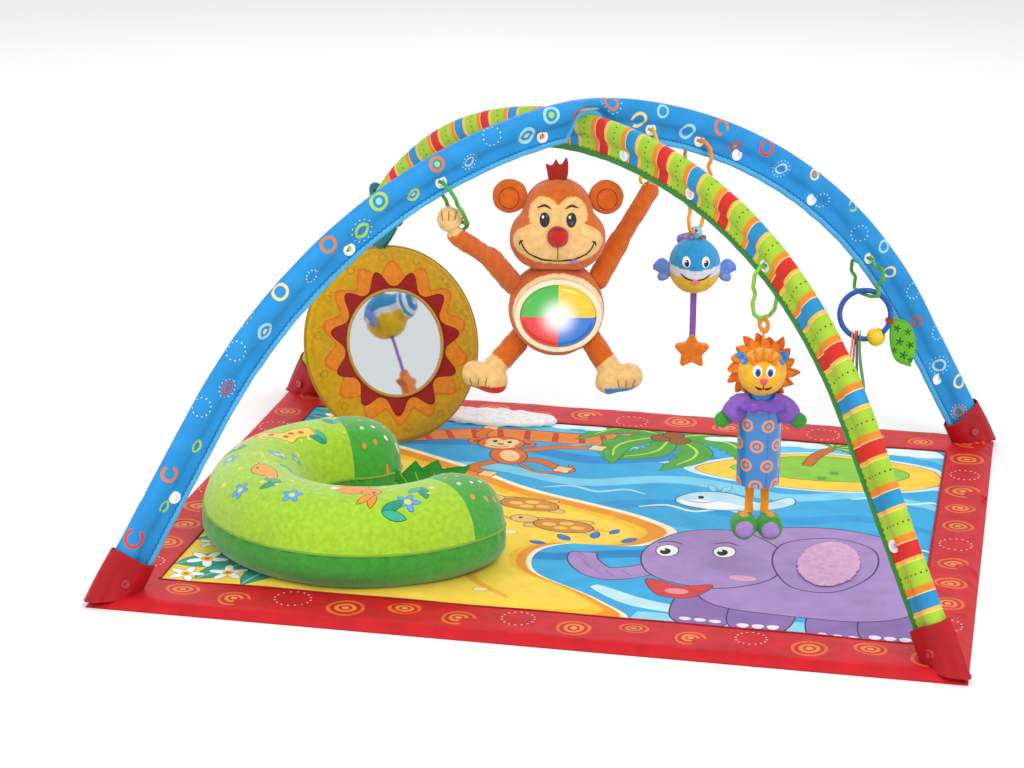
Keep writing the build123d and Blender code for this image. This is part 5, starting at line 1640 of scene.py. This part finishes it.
tie = np.array(joints["mirror_swing"]["pos_m"]) / mm
pad_top = mirror.point(0, mirror_radius - 4, -6)
t = np.linspace(0, 1, 24)[:, None]
strap_run = tie * (1 - t) + pad_top * t + np.array((0, 0, -6)) * (t * (1 - t) * 2)
for number, shift in enumerate((-1, 1)):
    band = tube(f"mirror_strap_{number + 1}", strap_run + mirror.across * 5.5 * shift * t, 5.0, ribbon_weave,
                "#12808A",
                sides=10, squash=0.16)
    carried("mirror", "teal_strap", band)
    if number == 0:
        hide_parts("mirror_strap")
angle = np.linspace(0, 2 * np.pi, 60)
loop_at = -490.0
section = np.stack([25 - 32 * np.cos(angle), 13.0 * np.sin(angle)], axis=1)
strap_loop = tube("mirror_strap_loop", green.at(loop_at + 0 * angle, section[:, 0], section[:, 1]), 8.0,
                  ribbon_weave,
                  "#12808A", sides=12, squash=0.13)
carried("arches", "teal_strap", strap_loop)

# ------------------------------------------------------------------ pillow
pillow_centre = np.array((-239.0, -146.0))
sweep, half_width, pillow_floor = 135.0, 62.0, 10.4
first_turn, last_turn = math.radians(112), math.radians(334)
arc = sweep * (last_turn - first_turn)
end_cap = half_width


def pillow_at(run, across):
    """Plan place of a point: run goes along the crescent's middle line, across goes outwards from it."""
    turn = first_turn + np.clip(run, 0, arc) / sweep
    beyond = np.where(run < 0, run, np.maximum(run - arc, 0))
    radius = sweep + across
    x = pillow_centre[0] + radius * np.cos(turn) - beyond * np.sin(turn)
    y = pillow_centre[1] + radius * np.sin(turn) + beyond * np.cos(turn)
    return x, y


def pillow_share(run):
    """Width along the crescent: full in the middle, rounded like a half circle at each end."""
    over = np.maximum(np.maximum(-run, run - arc), 0) / end_cap
    return np.sqrt(np.clip(1 - over ** 2, 0, 1))


def pillow_top_place(flat):
    """Crown of the pillow above its side seam: a flattened dome, with gathers that run in from the seam."""
    run, across = flat[:, 0], flat[:, 1]
    share = pillow_share(run)
    wide = np.maximum(half_width * share, 0.01)
    q = np.clip(across / wide, -1, 1)
    x, y = pillow_at(run, q * wide)
    seam_z = pillow_floor + 46
    crown = 58 * np.clip(share, 0, 1) ** 0.7
    dome = (1 - np.abs(q) ** 2.6) ** 0.62
    near_seam = np.exp(-((1 - np.abs(q)) / 0.35) ** 2) * (np.abs(q) < 0.99)
    gather = ripples(run, across * 0.25, 20, 1.1, 14) * near_seam
    z = seam_z + crown * dome + gather - 6 * (1 - share)
    return np.stack([x, y, z], axis=1)


def pillow_side_rows(name, code, finish):
    """Underside of the pillow: round from the side seam down to a flat base on the mat."""
    run = np.concatenate([np.linspace(-end_cap, 0, 28)[:-1], np.linspace(0, arc, 120),
                          np.linspace(arc, arc + end_cap, 28)[1:]])
    share = pillow_share(run)
    outer = np.stack([run, half_width * share], axis=1)
    inner = np.stack([run[::-1], -half_width * share[::-1]], axis=1)
    rim = np.vstack([outer, inner[1:-1]])
    surface = []
    for step in np.linspace(0, 1, 16):
        bulge = 1 + 0.035 * np.sin(np.pi * min(step * 1.6, 1)) - 0.42 * max(step - 0.5, 0) ** 1.5 * 2
        gather = 0.018 * np.sin(rim[:, 0] / 3.1 + np.sign(rim[:, 1])) * math.exp(-(step / 0.25) ** 2)
        x, y = pillow_at(rim[:, 0], rim[:, 1] * (bulge + gather))
        height = pillow_floor + (46 - 6 * (1 - pillow_share(rim[:, 0]))) * (1 - step) ** 1.25
        surface.append(np.stack([x, y, height], axis=1))
    for pull in (0.6, 0.25, 0.02):
        x, y = pillow_at(rim[:, 0], rim[:, 1] * 0.70 * pull)
        surface.append(np.stack([x, y, np.full(len(rim), pillow_floor)], axis=1))
    return loft(name, np.array(surface)[:, ::-1], finish, code, closed=True)


def rabbit(x, y, turn=0.0):
    """Hopping rabbit in orange, drawn small."""
    shapes = []
    code = "#F2962A"
    shapes += edged(oval(x, y, 22, 14, turn), code, "#8A4A10", 1.0)
    shapes += edged(oval(x + 22, y + 8, 11, 10), code, "#8A4A10", 1.0)
    for tilt in (100, 130):
        shapes += edged(leaf(x + 24, y + 14, 26, 5, tilt), code, "#8A4A10", 1.0)
    for dx, tilt in ((-16, -110), (-6, -80), (12, -70), (20, -50)):
        shapes += edged(leaf(x + dx, y - 8, 20, 5, tilt), code, "#8A4A10", 0.9)
    shapes += [(oval(x + 25, y + 10, 1.6, 2.2), "#1A1208"), (oval(x - 22, y - 2, 5), "#FFF3DC")]
    return shapes


def pillow_prints():
    """Giraffe, rabbit, bird, blossoms, leaves and dots on lime, with dotted green ends."""
    shapes = []
    for low_run, high_run in ((-end_cap - 4, 8), (arc - 22, arc + end_cap + 4)):
        shapes.append((np.array([(low_run, -70), (high_run, -70), (high_run + 10, 0), (high_run, 70),
                                 (low_run, 70)]),
                       "#46A83A"))
        for run in np.arange(low_run + 12, high_run - 2, 15):
            for across in (-44, -22, 0, 22, 44):
                shapes.append((oval(run, across + 5 * math.sin(run), 2.6),
                               "#F4FBE6" if (across // 22) % 2 else "#F2962A"))
    giraffe = smooth_loop([(70, -30), (96, -24), (120, -26), (128, 6), (150, 34), (140, 42), (116, 22),
                           (108, -2),
                           (84, -4), (66, -10)], 6)
    shapes += edged(giraffe, "#FBD23C", "#8A5A10", 1.2)
    for x, y in ((84, -16), (98, -12), (112, -14), (118, 4), (128, 20), (138, 34)):
        shapes.append((oval(x, y, 4.6, 3.8), "#D8421E"))
    shapes += rabbit(390, -4, 10)
    bird = smooth_loop([(232, 0), (252, 14), (276, 8), (292, 16), (286, 0), (262, -12), (240, -10)], 6)
    shapes += edged(bird, "#F6A42A", "#8A4A10", 1.1)
    shapes += [(oval(244, 4, 2.2), "#1A1208")] + edged(leaf(232, 0, -10, 3, 0), "#E0521E", "#8A2A10", 0.6)
    for x, y, size in ((40, 24, 11), (180, -26, 12), (196, 30, 10), (306, -30, 12), (330, 26, 11),
                       (446, 30, 12),
                       (452, -28, 10), (150, -44, 8), (270, 40, 9)):
        shapes += edged(petals(x, y, 5, size, size * 0.4, x), "#5FA9E0", "#2B6FB0",
                        0.8) + [(oval(x, y, size * 0.3), "#FBE04A")]
    for x, y, turn in ((56, -40, 30), (164, 16, 70), (214, -40, -20), (300, 6, 110), (346, -40, 20),
                       (420, 40, -30),
                       (28, -10, 80), (470, 4, 100)):
        shapes += edged(leaf(x, y, 26, 6, turn), "#1F9A7A", "#0E6A50", 0.9)
        shapes += edged(leaf(x, y, 22, 5, turn + 50), "#3DB58E", "#0E6A50", 0.8)
    rng = np.random.default_rng(8)
    for x, y in rng.uniform((10, -48), (arc - 30, 48), (46, 2)):
        shapes.append((oval(x, y, rng.uniform(1.6, 3.0)), "#F7E04A"))
    return shapes


def pillow_outline():
    """Flat rim of the pillow's top: run and across."""
    run = np.concatenate([-end_cap * np.cos(np.linspace(0, np.pi / 2, 24)), np.linspace(0, arc, 90)[1:-1],
                          arc + end_cap * np.sin(np.linspace(0, np.pi / 2, 24))])
    share = pillow_share(run)
    upper = np.stack([run, half_width * share], axis=1)
    lower = np.stack([run[::-1], -half_width * share[::-1]], axis=1)
    return np.vstack([lower[::-1], upper[::-1][1:-1]])


pillow_top = cut_to_outline("pillow_top", pillow_outline(), 6, "#A6D230", pillow_prints(), pillow_top_place,
                            velour)
pillow_base = pillow_side_rows("pillow_underside", "#3E9E36", velour)
carried("pillow", "lime_velour", pillow_top, pillow_base)
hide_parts("pillow")
rim_path = pillow_top_place(pillow_outline())
rim_path = np.vstack([rim_path, rim_path[:1]])
pillow_piping = tube("pillow_seam_piping", rim_path, 1.7, bias_tape, "#7DB52A", sides=8)
carried("pillow", "lime_velour", pillow_piping)

crest_edge = [(0, 8), (14, 34), (30, 50), (40, 42), (58, 60), (66, 50), (86, 62), (92, 50), (128, 56),
              (118, 42),
              (122, 30), (108, 20), (100, 8), (60, 2)]
crest = Facing((-262, -40, pillow_floor), (0.99, 0.12, 0), (0.12, -0.99, 0))


def crest_place(front):
    """Padded leaf behind the pillow's opening: soft between its veins, thin at its toothed rim."""
    def place(flat):
        vein = np.abs(np.sin(flat[:, 0] / 9.0 + flat[:, 1] / 22.0))
        puff = (1.2 + 2.6 * vein ** 0.5) * (1 if front else -1)
        return crest.point(flat[:, 0], flat[:, 1], puff)
    return place


crest_veins = [(stroke([(60 + 0.2 * x, 6), (x, 46)], 1.8), "#A6D230") for x in (14, 36, 58, 82, 106, 120)]
crest_veins += [(stroke([(8, 12), (60, 12), (112, 26)], 2.2), "#A6D230")]
for word, front in (("front", True), ("back", False)):
    face = cut_to_outline(f"pillow_leaf_{word}", np.array(crest_edge, dtype=float), 5, "#2F9638", crest_veins,
                          crest_place(front), velour)
    carried("pillow", "dark_green_velour", face)
    if front:
        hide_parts("pillow_leaf")

# ------------------------------------------------------------------ soft patches on the print
soft_copy("mat_soft_patches", "soft_patches", 2.4, 4,
          two_tone("#FBFBFA", [(lambda points: points[:, 0] > 100, "#D9A6CF")]), plush, "mat", "pile_patch",
          relief=1.4)
